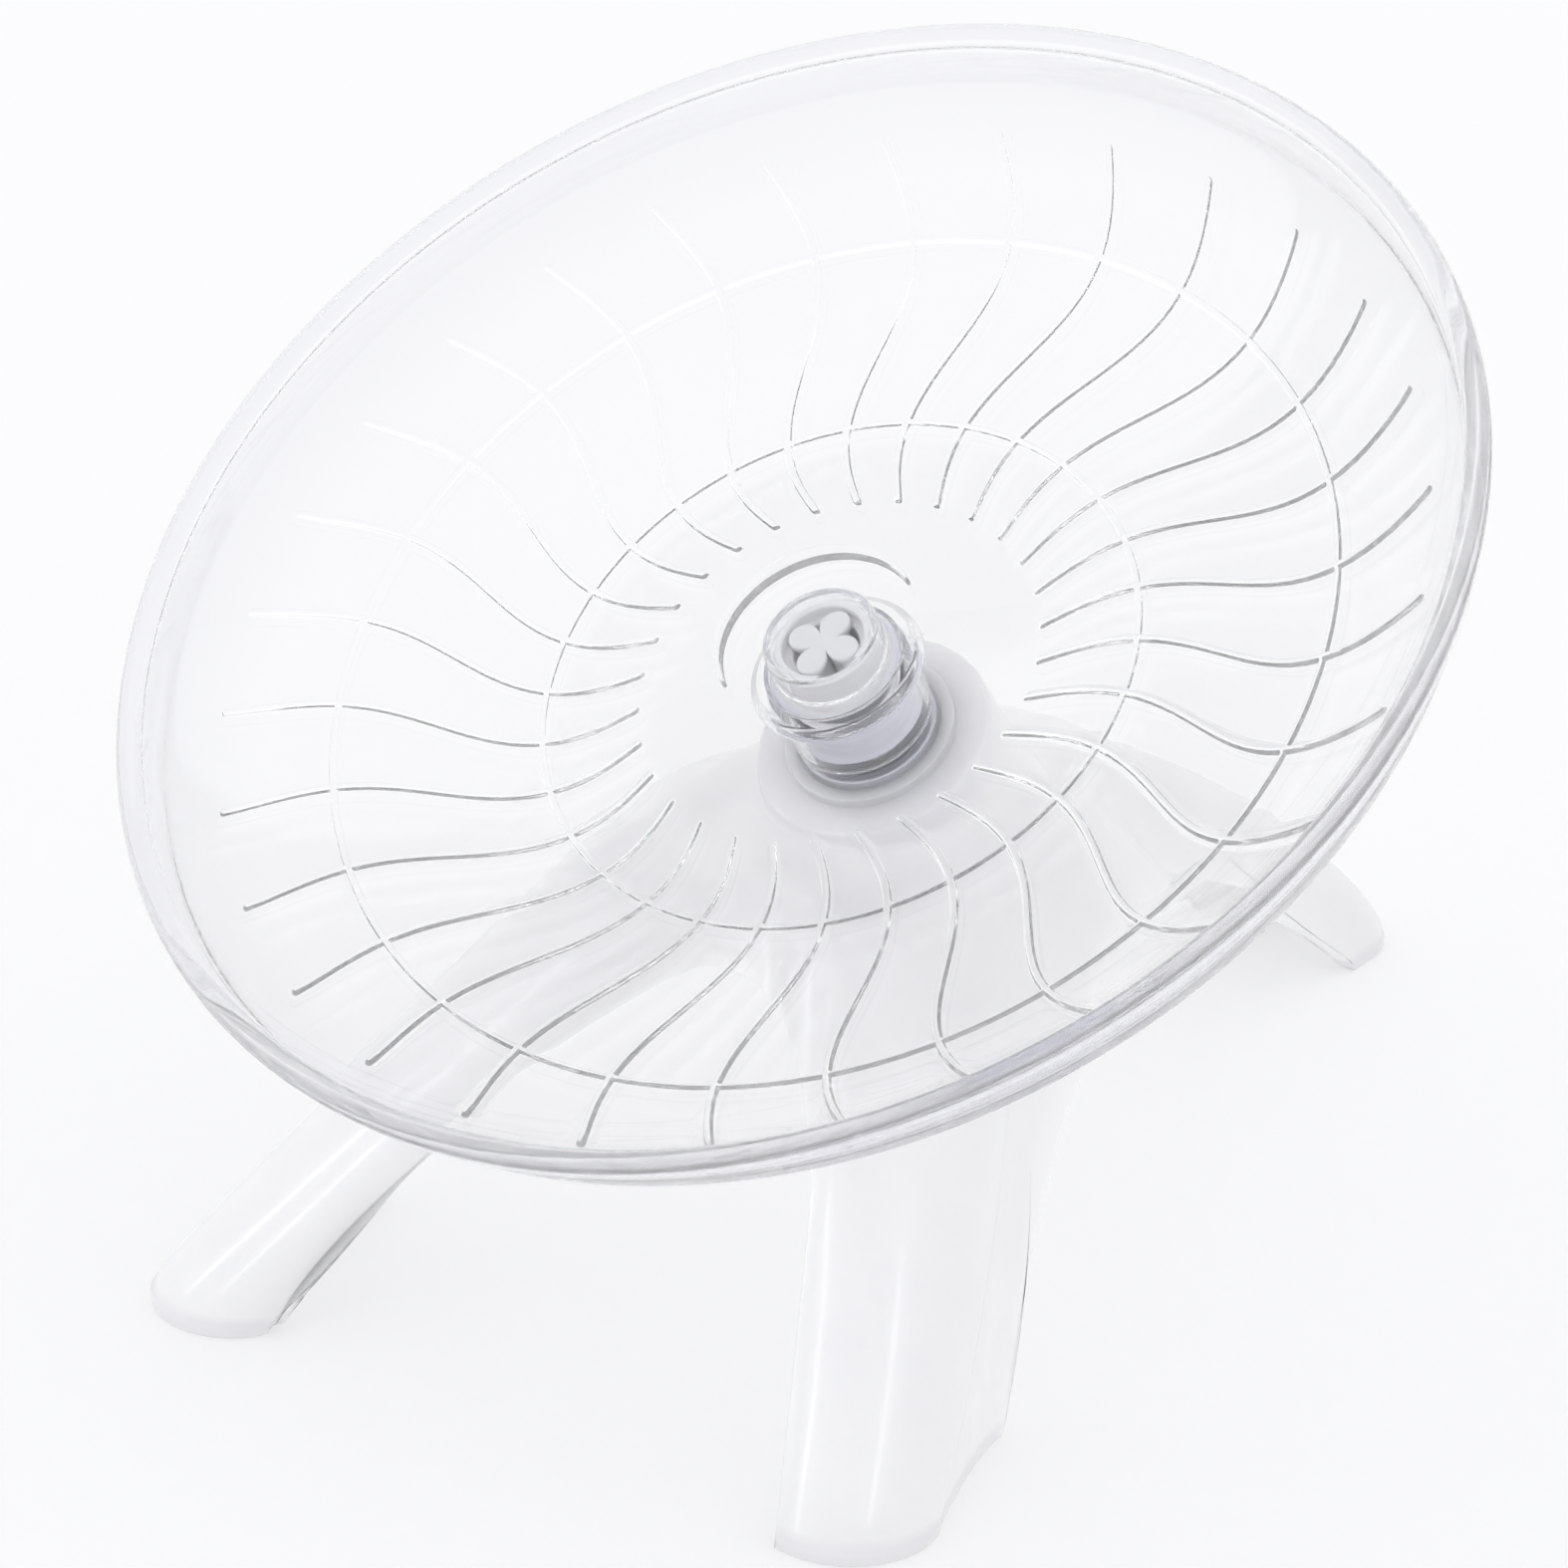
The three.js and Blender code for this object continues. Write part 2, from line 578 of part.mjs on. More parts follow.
// Points down one side of the bell, from the neck's upper edge to the floor
function bellProfile(azimuth) {
  const neckAzimuth = azimuth + LEG_SWEEP;
  const neckLength = lerp(NECK_SHORT, NECK_LONG, (1 - cos(neckAzimuth)) / 2);
  const neckFoot = onTiltedCircle(neckAzimuth, NECK_RADIUS + NECK_FLARE, NECK_TOP - neckLength);
  const deckEdge = onSection(azimuth, SHOULDER_HEIGHT + SHOULDER_RISE, SHOULDER_HEIGHT, DECK_INSET);
  return [
    onTiltedCircle(neckAzimuth, NECK_RADIUS - NECK_EDGE, NECK_TOP),
    onTiltedCircle(neckAzimuth, NECK_RADIUS, NECK_TOP - NECK_EDGE),
    neckFoot,
    neckFoot.clone().lerp(deckEdge, DECK_STEPS[0]).sub(new THREE.Vector3(0, 0, DECK_DIP)),
    neckFoot.clone().lerp(deckEdge, DECK_STEPS[1]),
    deckEdge,
    onSection(azimuth, SHOULDER_HEIGHT + SHOULDER_RISE / 2, SHOULDER_HEIGHT, DECK_INSET / 3),
    ...[...WALL_ROWS, FOOT_BAND, 0].map((height) => onSection(azimuth, height)),
  ];
}

// Rings of the bell's outside, and of its inside at the thickness of the wall, from the deck down
function bellRings() {
  const profiles = columnAzimuths().map(bellProfile);
  const outside = profiles[0].map((_, row) => profiles.map((profile) => profile[row]));
  const skin = loft(outside, true);
  skin.computeVertexNormals();
  const inside = INSIDE_ROWS.map((row) => outside[row].map((point, i) => {
    const index = row * outside[row].length + i;
    const inward = new THREE.Vector3().fromBufferAttribute(skin.attributes.normal, index);
    return point.clone().addScaledVector(inward, STAND_WALL);
  }));
  return { outside, inside };
}

// Prism with an arched outline that opens the wall between two legs
function archGeometry(arch) {
  const steps = 12;
  const margin = 5;
  const side = ({ reach, power }, sign) => Array.from({ length: steps + 1 }, (_, i) => {
    const a = PI / 2 * i / steps;
    return new THREE.Vector2(sign * reach * sin(a) ** (2 / power), ARCH_HEIGHT * cos(a) ** (2 / power));
  });
  const outline = new THREE.Shape().setFromPoints([
    ...side(arch.left, -1).reverse(), ...side(arch.right, 1).slice(1),
    new THREE.Vector2(arch.right.reach, -margin), new THREE.Vector2(-arch.left.reach, -margin),
  ]);
  const geometry = new THREE.ExtrudeGeometry(outline, { depth: ARCH_DEPTH, bevelEnabled: false });
  return geometry.translate(0, 0, ARCH_START).rotateX(PI / 2).rotateZ(arch.azimuth).translate(0, neckY(), 0);
}

// Cuts and joins along the spin axis, placed in the stand's upright frame
function alongAxis(geometry) {
  return geometry.rotateX(TILT).translate(0, 0, RIM_HEIGHT);
}

function standGeometry() {
  const { outside, inside } = bellRings();
  const ledge = BEARING_TOP - BEARING_WIDTH - GAP;
  const ceiling = outside[0].map((_, i) => {
    const azimuth = atan2(inside[0][i].x, neckY() - inside[0][i].y);
    return onTiltedCircle(azimuth, NECK_RADIUS - STAND_WALL, ledge - SEAT_LEDGE);
  });
  const belowFloor = inside.at(-1).map((point) => point.clone().setZ(-STAND_WALL));
  return carve(
    loft(outside, true),
    [alongAxis(disc(COLLAR_RADIUS, NECK_TOP - 1, COLLAR_TOP, 48))],
    [
      loft([ceiling, ...inside, belowFloor], true),
      ...ARCHES.map(archGeometry),
      alongAxis(disc(BEARING_OUTSIDE + GAP, ledge, COLLAR_TOP + 1, 48)),
      alongAxis(disc(SEAT_HOLE, ledge - 2 * SEAT_LEDGE, ledge + 1, 32)),
    ],
  );
}

// Assembly

const wheel = new THREE.Group();
wheel.add(named('stand', standGeometry(), MATERIALS.frostedStand));

const spinFrame = new THREE.Group();
spinFrame.position.z = RIM_HEIGHT;
spinFrame.rotation.x = TILT;
spinFrame.add(
  named('saucer', saucerGeometry(), MATERIALS.clearSaucer),
  named('hub_cap', capGeometry(), MATERIALS.clearCap),
  named('hub_sleeve', sleeveGeometry(), MATERIALS.sleeveGrey),
  named('spindle', spindleGeometry(), MATERIALS.spindleWhite),
  bearingPieces(),
  named('retaining_washer', washerGeometry(), MATERIALS.zinc),
  named('retaining_screw', screwGeometry(), MATERIALS.zinc),
);
wheel.add(spinFrame);

// The origin is below the middle of the overall box, on the floor.
wheel.updateMatrixWorld(true);
const middle = new THREE.Box3().setFromObject(wheel, true).getCenter(new THREE.Vector3());
wheel.position.set(-middle.x, -middle.y, 0);

export default wheel;
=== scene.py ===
"""Flying-saucer exercise wheel: fine surfaces, finishes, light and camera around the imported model.

Sizes are in millimetres and stand as fields of the class that makes the piece. Points become metres only
when a mesh is made. Heights called "along" are measured on the spin axis from the plane of the rim.
Azimuths on the stand run from the low side (-Y) towards +X.
"""

from __future__ import annotations

import json
import logging
from collections.abc import Sequence
from dataclasses import dataclass, field
from enum import Enum

import bpy
import numpy as np
from mathutils import Matrix, Quaternion, Vector


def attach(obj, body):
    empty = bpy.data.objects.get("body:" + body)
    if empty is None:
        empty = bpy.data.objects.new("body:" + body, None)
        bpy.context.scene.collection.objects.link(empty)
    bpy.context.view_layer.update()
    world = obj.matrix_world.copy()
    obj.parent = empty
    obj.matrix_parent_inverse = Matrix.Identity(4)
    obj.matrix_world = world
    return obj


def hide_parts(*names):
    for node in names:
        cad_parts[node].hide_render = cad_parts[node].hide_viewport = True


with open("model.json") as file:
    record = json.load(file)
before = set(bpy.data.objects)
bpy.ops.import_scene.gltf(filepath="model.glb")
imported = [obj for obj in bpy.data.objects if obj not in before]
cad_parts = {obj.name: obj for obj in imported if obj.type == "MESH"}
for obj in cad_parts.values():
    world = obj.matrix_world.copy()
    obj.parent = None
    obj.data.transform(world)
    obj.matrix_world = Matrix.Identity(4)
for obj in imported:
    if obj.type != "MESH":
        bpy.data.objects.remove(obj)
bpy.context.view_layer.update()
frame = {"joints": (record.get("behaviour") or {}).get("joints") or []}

LOG = logging.getLogger("exercise_wheel")

Array = np.ndarray
Piece = bpy.types.Object
Pieces = dict[str, Piece]
Material = bpy.types.Material
Socket = bpy.types.NodeSocket
Pair = tuple[float, float]
Place = tuple[float, float, float]
Colour = tuple[float, float, float]

MM = 0.001
TURN = 2 * np.pi

# Rounded corners: the share of the shorter straight that a curve may take, the share of its cut at which one
# more point stands on the straight, and how far away that point is at most, in millimetres.
CORNER_SHARE = 0.4
SUPPORT_SHARE = 0.35
SUPPORT_MOST = 0.2

# A face whose corners lie farther apart than this on the surface map, in turns, crosses the map's seam.
SEAM_GAP = 0.6

# Nearly every value of a cloudy pattern lies between these.
NOISE_RANGE = (0.3, 0.7)


class Body(Enum):
    """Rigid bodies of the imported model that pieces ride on."""

    STAND = "stand"
    WHEEL = "wheel"
    BALL_SET = "ball_set"


# Geometry kit


def smooth_step(value: Array) -> Array:
    """Ramp from 0 to 1 with level ends: t * t * (3 - 2 t) for t clipped to 0..1."""
    t = np.clip(value, 0.0, 1.0)
    return t * t * (3.0 - 2.0 * t)


def lerp(start: Array, end: Array, share: Array) -> Array:
    """Point at a share of the way from start to end."""
    return start + (end - start) * share


def around(count: int) -> Array:
    """Evenly spaced angles from 0 to a whole turn, which is left out."""
    return np.linspace(0, TURN, count, endpoint=False)


def wrapped(angle: Array) -> Array:
    """Angle brought to the range from -pi to pi: (angle + pi) modulo a turn, less pi."""
    return (angle + np.pi) % TURN - np.pi


def polar(radius: Array, angle: Array, height: Array) -> Array:
    """Points (r cos a, r sin a, z), with the three arrays spread over each other."""
    return np.stack(np.broadcast_arrays(radius * np.cos(angle), radius * np.sin(angle), height), -1)


def from_low_side(azimuth: Array, radius: Array, height: Array) -> Array:
    """Points (r sin a, -r cos a, z), with azimuth 0 on the low side."""
    return np.stack(np.broadcast_arrays(radius * np.sin(azimuth), -radius * np.cos(azimuth), height), -1)


def lengths(vectors: Array) -> Array:
    """Lengths of vectors, never quite zero, with their axis kept."""
    return np.maximum(np.linalg.norm(vectors, axis=-1, keepdims=True), 1e-9)


def corner_curve(before: Array, corner: Array, after: Array, steps: int) -> Array:
    """Rounds a corner by the quadratic curve (1-t)^2 A + 2t(1-t) C + t^2 B.

    Args:
        before: Point A where the curve starts, shape (..., dimensions).
        corner: Point C, the corner itself.
        after: Point B where the curve ends.
        steps: Number of points on the curve.

    Returns:
        The points, with the steps as the first axis.
    """
    t = np.linspace(0.0, 1.0, steps).reshape((-1,) + (1,) * np.ndim(corner))
    return (1 - t) ** 2 * before + 2 * t * (1 - t) * corner + t**2 * after


def rounded(outline: Sequence[Pair], radius: float, closed: bool = True, steps: int = 6) -> Array:
    """Outline with rounded corners, and one more point on the straight at each side of every curve.

    Each corner is left and met at distance `radius`, or at a share of the shorter straight beside it where
    that is less. The two points beyond the curve's ends keep the straights flat under smooth shading.

    Args:
        outline: Corners as (radius, height) pairs.
        radius: Distance from a corner to the ends of its curve.
        closed: Whether the last corner joins the first. Otherwise both ends stay as they are.
        steps: Points on each curve.

    Returns:
        Points of the rounded outline, shape (count, 2).
    """
    corners = np.asarray(outline, float)
    to_next = np.roll(corners, -1, axis=0) - corners
    length = np.linalg.norm(to_next, axis=1)
    room = CORNER_SHARE * np.minimum(length, np.roll(length, 1))
    cut = np.minimum(radius, room)[:, None]
    forward = to_next / length[:, None]
    backward = -np.roll(forward, 1, axis=0)
    start, end = corners + backward * cut, corners + forward * cut
    support = np.minimum(SUPPORT_SHARE * cut, SUPPORT_MOST)
    curve = corner_curve(start, corners, end, steps)
    rows = np.concatenate([[start + backward * support], curve, [end + forward * support]])
    points = rows.transpose(1, 0, 2)
    if closed:
        return points.reshape(-1, 2)
    return np.concatenate([corners[:1], points[1:-1].reshape(-1, 2), corners[-1:]])


@dataclass(frozen=True)
class Skin:
    """Closed surface on a grid whose columns always join round.

    Attributes:
        points: Places in millimetres in the model's frame, shape (rows, columns, 3).
        closed: Whether the last row joins the first. Otherwise each end closes on the middle of its row.
    """

    points: Array
    closed: bool

    def faces(self) -> tuple[Array, Array]:
        """Quads between neighbouring rows, and the triangles that close the ends on their poles.

        Returns:
            Quads, shape (count, 4), and triangles, shape (count, 3), turned so that they face outwards.
        """
        rows, columns = self.points.shape[:2]
        index = np.arange(rows * columns).reshape(rows, columns)
        here = index if self.closed else index[:-1]
        there = np.roll(index, -1, axis=0) if self.closed else index[1:]
        quads = np.stack([here, np.roll(here, -1, 1), np.roll(there, -1, 1), there], -1).reshape(-1, 4)
        triangles = np.zeros((0, 3), int)
        if not self.closed:
            first, last = index[0], index[-1]
            pole = np.full(columns, rows * columns)
            triangles = np.concatenate([
                np.stack([pole, np.roll(first, -1), first], -1),
                np.stack([pole + 1, last, np.roll(last, -1)], -1),
            ])
        if self._volume(quads, triangles) < 0:
            quads, triangles = quads[:, ::-1], triangles[:, ::-1]
        return quads, triangles

    def vertices(self) -> Array:
        """Lists all points, with the two poles last where the ends close.

        Returns:
            Places in millimetres, shape (count, 3).
        """
        flat = self.points.reshape(-1, 3)
        if self.closed:
            return flat
        return np.concatenate([flat, self.points[[0, -1]].mean(axis=1)])

    def _volume(self, quads: Array, triangles: Array) -> float:
        """Six times the signed volume: the sum of a . (b x c) over every triangle.

        Args:
            quads: Corners of the quads, which count as two triangles each.
            triangles: Corners of the triangles.

        Returns:
            A positive number where the faces point outwards.
        """
        every = np.concatenate([quads[:, [0, 1, 2]], quads[:, [0, 2, 3]], triangles])
        a, b, c = self.vertices()[every].transpose(1, 0, 2)
        return float(np.einsum("ij,ij->i", a, np.cross(b, c)).sum())

    def coordinates(self) -> Array:
        """Surface map of each vertex.

        Returns:
            Pairs of turns round the piece and millimetres along its outline, in the order of `vertices`.
        """
        columns = self.points.shape[1]
        stride = np.linalg.norm(np.diff(self.points, axis=0), axis=-1).mean(axis=1)
        along = np.concatenate([[0.0], np.cumsum(stride)])
        round_ = np.arange(columns) / columns
        uv = np.stack(np.broadcast_arrays(round_[None, :], along[:, None]), -1).reshape(-1, 2)
        if self.closed:
            return uv
        return np.concatenate([uv, [[0.5, 0.0], [0.5, along[-1]]]])


def lathe(outline: Array, columns: int, closed: bool = True) -> Array:
    """Turns an outline about the z axis: (r cos a, r sin a, z) for evenly spaced angles a.

    Args:
        outline: (radius, height) points. An open outline's ends lie on the axis and become poles.
        columns: Number of angles.
        closed: Whether the outline closes on itself.

    Returns:
        Local points, shape (rows, columns, 3).
    """
    kept = outline if closed else outline[1:-1]
    return polar(kept[:, :1], around(columns), kept[:, 1:])


@dataclass(frozen=True)
class SpinAxis:
    """Frame of the tilted spin axis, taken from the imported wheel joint.

    Attributes:
        origin: Centre of the rim's plane, in millimetres in the model's frame.
        across: Unit vector of local x.
        up_slope: Unit vector of local y, which climbs the rim's plane.
        along: Unit vector of local z, up the axis.
    """

    origin: Array
    across: Array
    up_slope: Array
    along: Array

    @classmethod
    def from_joint(cls, name: str, joint_along: float) -> SpinAxis:
        """Reads the joint's point and axis.

        Args:
            name: Name of the joint.
            joint_along: Height of the joint's point along the axis.

        Returns:
            The axis frame.
        """
        joint = next(j for j in frame["joints"] if j["name"] == name)
        along = np.array(joint["axis"], float)
        along /= np.linalg.norm(along)
        across = np.array([1.0, 0.0, 0.0])
        origin = np.array(joint["pos_m"], float) / MM - along * joint_along
        return cls(origin, across, np.cross(along, across), along)

    def place(self, local: Array) -> Array:
        """Local points moved into the model's frame."""
        return self.origin + local @ np.array([self.across, self.up_slope, self.along])

    def circle(self, azimuth: Array, radius: Array, along: Array) -> Array:
        """Points of circles round the axis, with azimuth 0 on the low side."""
        return self.place(from_low_side(azimuth, radius, along))


def make_piece(name: str, skins: Sequence[Skin]) -> Piece:
    """Makes one object of one or more closed skins, smooth shaded, with its surface map.

    Args:
        name: Name of the object and its mesh.
        skins: Closed surfaces in millimetres in the model's frame.

    Returns:
        The object, at the origin, with its place in its mesh.
    """
    vertices, faces, corner_maps, start = [], [], [], 0
    for skin in skins:
        quads, triangles = skin.faces()
        uv = skin.coordinates()
        for group in (quads, triangles):
            corners = uv[group]
            wraps = corners[..., 0].max(axis=1, keepdims=True) - corners[..., 0] > SEAM_GAP
            corners[..., 0] += wraps
            corner_maps.append(corners.reshape(-1, 2))
            faces.extend((group + start).tolist())
        vertices.append(skin.vertices())
        start += len(vertices[-1])
    mesh = bpy.data.meshes.new(name)
    mesh.from_pydata((np.concatenate(vertices) * MM).tolist(), [], faces)
    mesh.polygons.foreach_set("use_smooth", np.ones(len(faces), bool))
    layer = mesh.uv_layers.new(name="surface")
    layer.data.foreach_set("uv", np.concatenate(corner_maps).astype(np.float32).ravel())
    mesh.update()
    piece = bpy.data.objects.new(name, mesh)
    bpy.context.scene.collection.objects.link(piece)
    return piece


def finish_piece(piece: Piece, body: Body, nodes: Sequence[str], material: Material) -> Piece:
    """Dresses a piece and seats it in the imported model.

    Args:
        piece: Object to finish.
        body: Body that it rides on.
        nodes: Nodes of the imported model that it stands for.
        material: Its finish.

    Returns:
        The same object.
    """
    piece.data.materials.append(material)
    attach(piece, body.value)
    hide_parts(*nodes)
    LOG.info("%s: %d faces on %s", piece.name, len(piece.data.polygons), body.value)
    return piece


# Finishes


@dataclass(frozen=True)
class Fade:
    """Second colour that takes over between two distances.

    Attributes:
        colour: The second colour.
        reach: Distances at which it starts and ends to take over, in millimetres.
        centre: Point from which they count. Without one they count along the piece's outline.
    """

    colour: Colour
    reach: Pair
    centre: Place | None = None


@dataclass(frozen=True)
class Cloud:
    """Cloudy pattern.

    Attributes:
        size: Size of its lumps, in millimetres.
        detail: Number of finer layers in it.
    """

    size: float
    detail: float = 3.0


class Nodes:
    """Node tree of one material, with short calls for the nodes that the finishes share."""

    def __init__(self, name: str) -> None:
        """Makes an empty material with its output and its surface shader.

        Args:
            name: Name of the material.
        """
        self.material = bpy.data.materials.new(name)
        self.material.use_nodes = True
        self.tree = self.material.node_tree
        self.tree.nodes.clear()
        self.output = self.tree.nodes.new("ShaderNodeOutputMaterial")
        self.shader = self.tree.nodes.new("ShaderNodeBsdfPrincipled")
        self.tree.links.new(self.shader.outputs["BSDF"], self.output.inputs["Surface"])

    def set(self, **sockets: float | tuple[float, ...]) -> None:
        """Sets constants on the shader's own sockets, named with underscores for spaces."""
        for key, value in sockets.items():
            self.shader.inputs[key.replace("_", " ")].default_value = value

    def add(self, kind: str, **settings: object) -> bpy.types.Node:
        """Adds a node.

        Args:
            kind: Blender's name of the node's type.
            settings: Values of the node's properties, by name.

        Returns:
            The node.
        """
        node = self.tree.nodes.new(kind)
        for key, value in settings.items():
            setattr(node, key, value)
        return node

    def link(self, source: Socket, target: Socket) -> None:
        """Links two sockets."""
        self.tree.links.new(source, target)

    def place(self, scale: Place = (1, 1, 1), on_surface: bool = False) -> Socket:
        """Coordinates of a pattern.

        Args:
            scale: Stretch of the pattern along its axes.
            on_surface: Whether it follows the surface map. Otherwise it follows the object.

        Returns:
            The vector socket.
        """
        source = self.add("ShaderNodeTexCoord")
        mapping = self.add("ShaderNodeMapping")
        mapping.inputs["Scale"].default_value = scale
        self.link(source.outputs["UV" if on_surface else "Object"], mapping.inputs["Vector"])
        return mapping.outputs["Vector"]

    def noise(self, place: Socket, cloud: Cloud) -> Socket:
        """Adds a cloudy pattern.

        Args:
            place: Its coordinates.
            cloud: Its size and detail.

        Returns:
            The pattern's value.
        """
        node = self.add("ShaderNodeTexNoise")
        node.inputs["Scale"].default_value = 1.0 / (cloud.size * MM)
        node.inputs["Detail"].default_value = cloud.detail
        self.link(place, node.inputs["Vector"])
        return node.outputs["Fac"]

    def ramp(self, source: Socket, low: float, high: float) -> Socket:
        """Carries a pattern's usual range to another one, in a straight line.

        Args:
            source: The pattern's value.
            low: Result at the range's lower end.
            high: Result at its upper end.

        Returns:
            The result.
        """
        node = self.add("ShaderNodeMapRange")
        for key, value in zip(("From Min", "From Max", "To Min", "To Max"), (*NOISE_RANGE, low, high)):
            node.inputs[key].default_value = value
        self.link(source, node.inputs["Value"])
        return node.outputs["Result"]

    def tint(self, source: Socket, dark: Colour, light: Colour, fades: Sequence[Fade] = ()) -> None:
        """Colours the shader between two colours by a pattern.

        Args:
            source: The pattern.
            dark: Colour where the pattern is low.
            light: Colour where it is high.
            fades: Colours that take over farther away.
        """
        colour = self._blend(self.ramp(source, 0.0, 1.0), [(*dark, 1), (*light, 1)])
        for fade in fades:
            colour = self._blend(self._distance(fade), [colour, (*fade.colour, 1)])
        self.link(colour, self.shader.inputs["Base Color"])

    def _blend(self, share: Socket, ends: Sequence[Socket | tuple[float, ...]]) -> Socket:
        """Mixes two colours: first + (second - first) times the share.

        Args:
            share: The share.
            ends: The two colours, each a constant or a socket.

        Returns:
            The mixed colour.
        """
        node = self.add("ShaderNodeMix", data_type="RGBA")
        self.link(share, node.inputs[0])
        for socket, end in zip((put for put in node.inputs if put.type == "RGBA"), ends):
            if isinstance(end, tuple):
                socket.default_value = end
            else:
                self.link(end, socket)
        return next(put for put in node.outputs if put.type == "RGBA")

    def _distance(self, fade: Fade) -> Socket:
        """Ramp from 0 to 1 over the fade's range of distances.

        Args:
            fade: The fade, whose distances count from its centre or along the outline.

        Returns:
            The ramp's value.
        """
        node = self.add("ShaderNodeMapRange")
        if fade.centre is None:
            split = self.add("ShaderNodeSeparateXYZ")
            self.link(self.place(on_surface=True), split.inputs["Vector"])
            self.link(split.outputs["Y"], node.inputs["Value"])
            unit = 1.0
        else:
            away = self.add("ShaderNodeVectorMath", operation="DISTANCE")
            away.inputs[1].default_value = [value * MM for value in fade.centre]
            self.link(self.place(), away.inputs[0])
            self.link(away.outputs["Value"], node.inputs["Value"])
            unit = MM
        node.inputs["From Min"].default_value = fade.reach[0] * unit
        node.inputs["From Max"].default_value = fade.reach[1] * unit
        return node.outputs["Result"]

    def roughen(self, source: Socket, rough: Pair) -> None:
        """Lets a pattern drive the shader's roughness between its lowest and highest value."""
        self.link(self.ramp(source, *rough), self.shader.inputs["Roughness"])

    def relief(self, layers: Sequence[tuple[Socket, float]]) -> None:
        """Raises the surface by patterns, one bump on the other.

        Args:
            layers: Pairs of pattern and height in millimetres.
        """
        normal = None
        for source, height in layers:
            bump = self.add("ShaderNodeBump")
            bump.inputs["Distance"].default_value = height * MM
            self.link(source, bump.inputs["Height"])
            if normal is not None:
                self.link(normal, bump.inputs["Normal"])
            normal = bump.outputs["Normal"]
        self.link(normal, self.shader.inputs["Normal"])

    def let_through(self, colour: Colour, share: float) -> None:
        """Lets lamp rays pass, and a share of all others, so that clear plastic throws no dark shadow.

        Args:
            colour: Tint of what passes.
            share: Share of ordinary rays that pass straight on.
        """
        through = self.add("ShaderNodeBsdfTransparent")
        through.inputs["Color"].default_value = (*colour, 1)
        path = self.add("ShaderNodeLightPath")
        either = self.add("ShaderNodeMath", operation="MAXIMUM")
        either.inputs[1].default_value = share
        mix = self.add("ShaderNodeMixShader")
        self.link(path.outputs["Is Shadow Ray"], either.inputs[0])
        self.link(either.outputs["Value"], mix.inputs["Fac"])
        self.link(self.shader.outputs["BSDF"], mix.inputs[1])
        self.link(through.outputs["BSDF"], mix.inputs[2])
        self.link(mix.outputs["Shader"], self.output.inputs["Surface"])


@dataclass(frozen=True)
class ClearPlastic:
    """Polished clear plastic with moulding ripple and fine wear. Its clouds are their patterns.

    Attributes:
        tint: Colour of the plastic.
        ripple: Height of the slow moulding ripple, in millimetres.
        polish: Lowest and highest roughness.
        straight: Share of rays that pass unbent, which keeps thin edges light.
        passing: Tint of the rays that pass unbent.
        fades: Deeper tints that take over farther away.
        shade: Brightness of the tint in its darkest clouds.
        scuff_depth: Depth of the wear marks, in millimetres.
    """

    name: str
    tint: Colour = (0.995, 0.995, 0.998)
    ior: float = 1.5
    ripple: float = 0.02
    polish: Pair = (0.01, 0.04)
    straight: float = 0.07
    passing: Colour = (0.98, 0.98, 0.985)
    fades: tuple[Fade, ...] = ()
    shade: float = 0.99
    clouds: Cloud = Cloud(24.0)
    wear: Cloud = Cloud(3.0, 5.0)
    swell: Cloud = Cloud(17.0, 1.0)
    scuffs: Cloud = Cloud(1.2, 2.0)
    scuff_depth: float = 0.0003

    def material(self) -> Material:
        """Builds the node material.

        Returns:
            The material.
        """
        nodes = Nodes(self.name)
        nodes.set(Transmission_Weight=1.0, IOR=self.ior)
        place = nodes.place()
        dark = tuple(channel * self.shade for channel in self.tint)
        nodes.tint(nodes.noise(place, self.clouds), dark, self.tint, self.fades)
        nodes.roughen(nodes.noise(place, self.wear), self.polish)
        nodes.relief([
            (nodes.noise(place, self.swell), self.ripple),
            (nodes.noise(place, self.scuffs), self.scuff_depth),
        ])
        nodes.let_through(self.passing, self.straight)
        return nodes.material


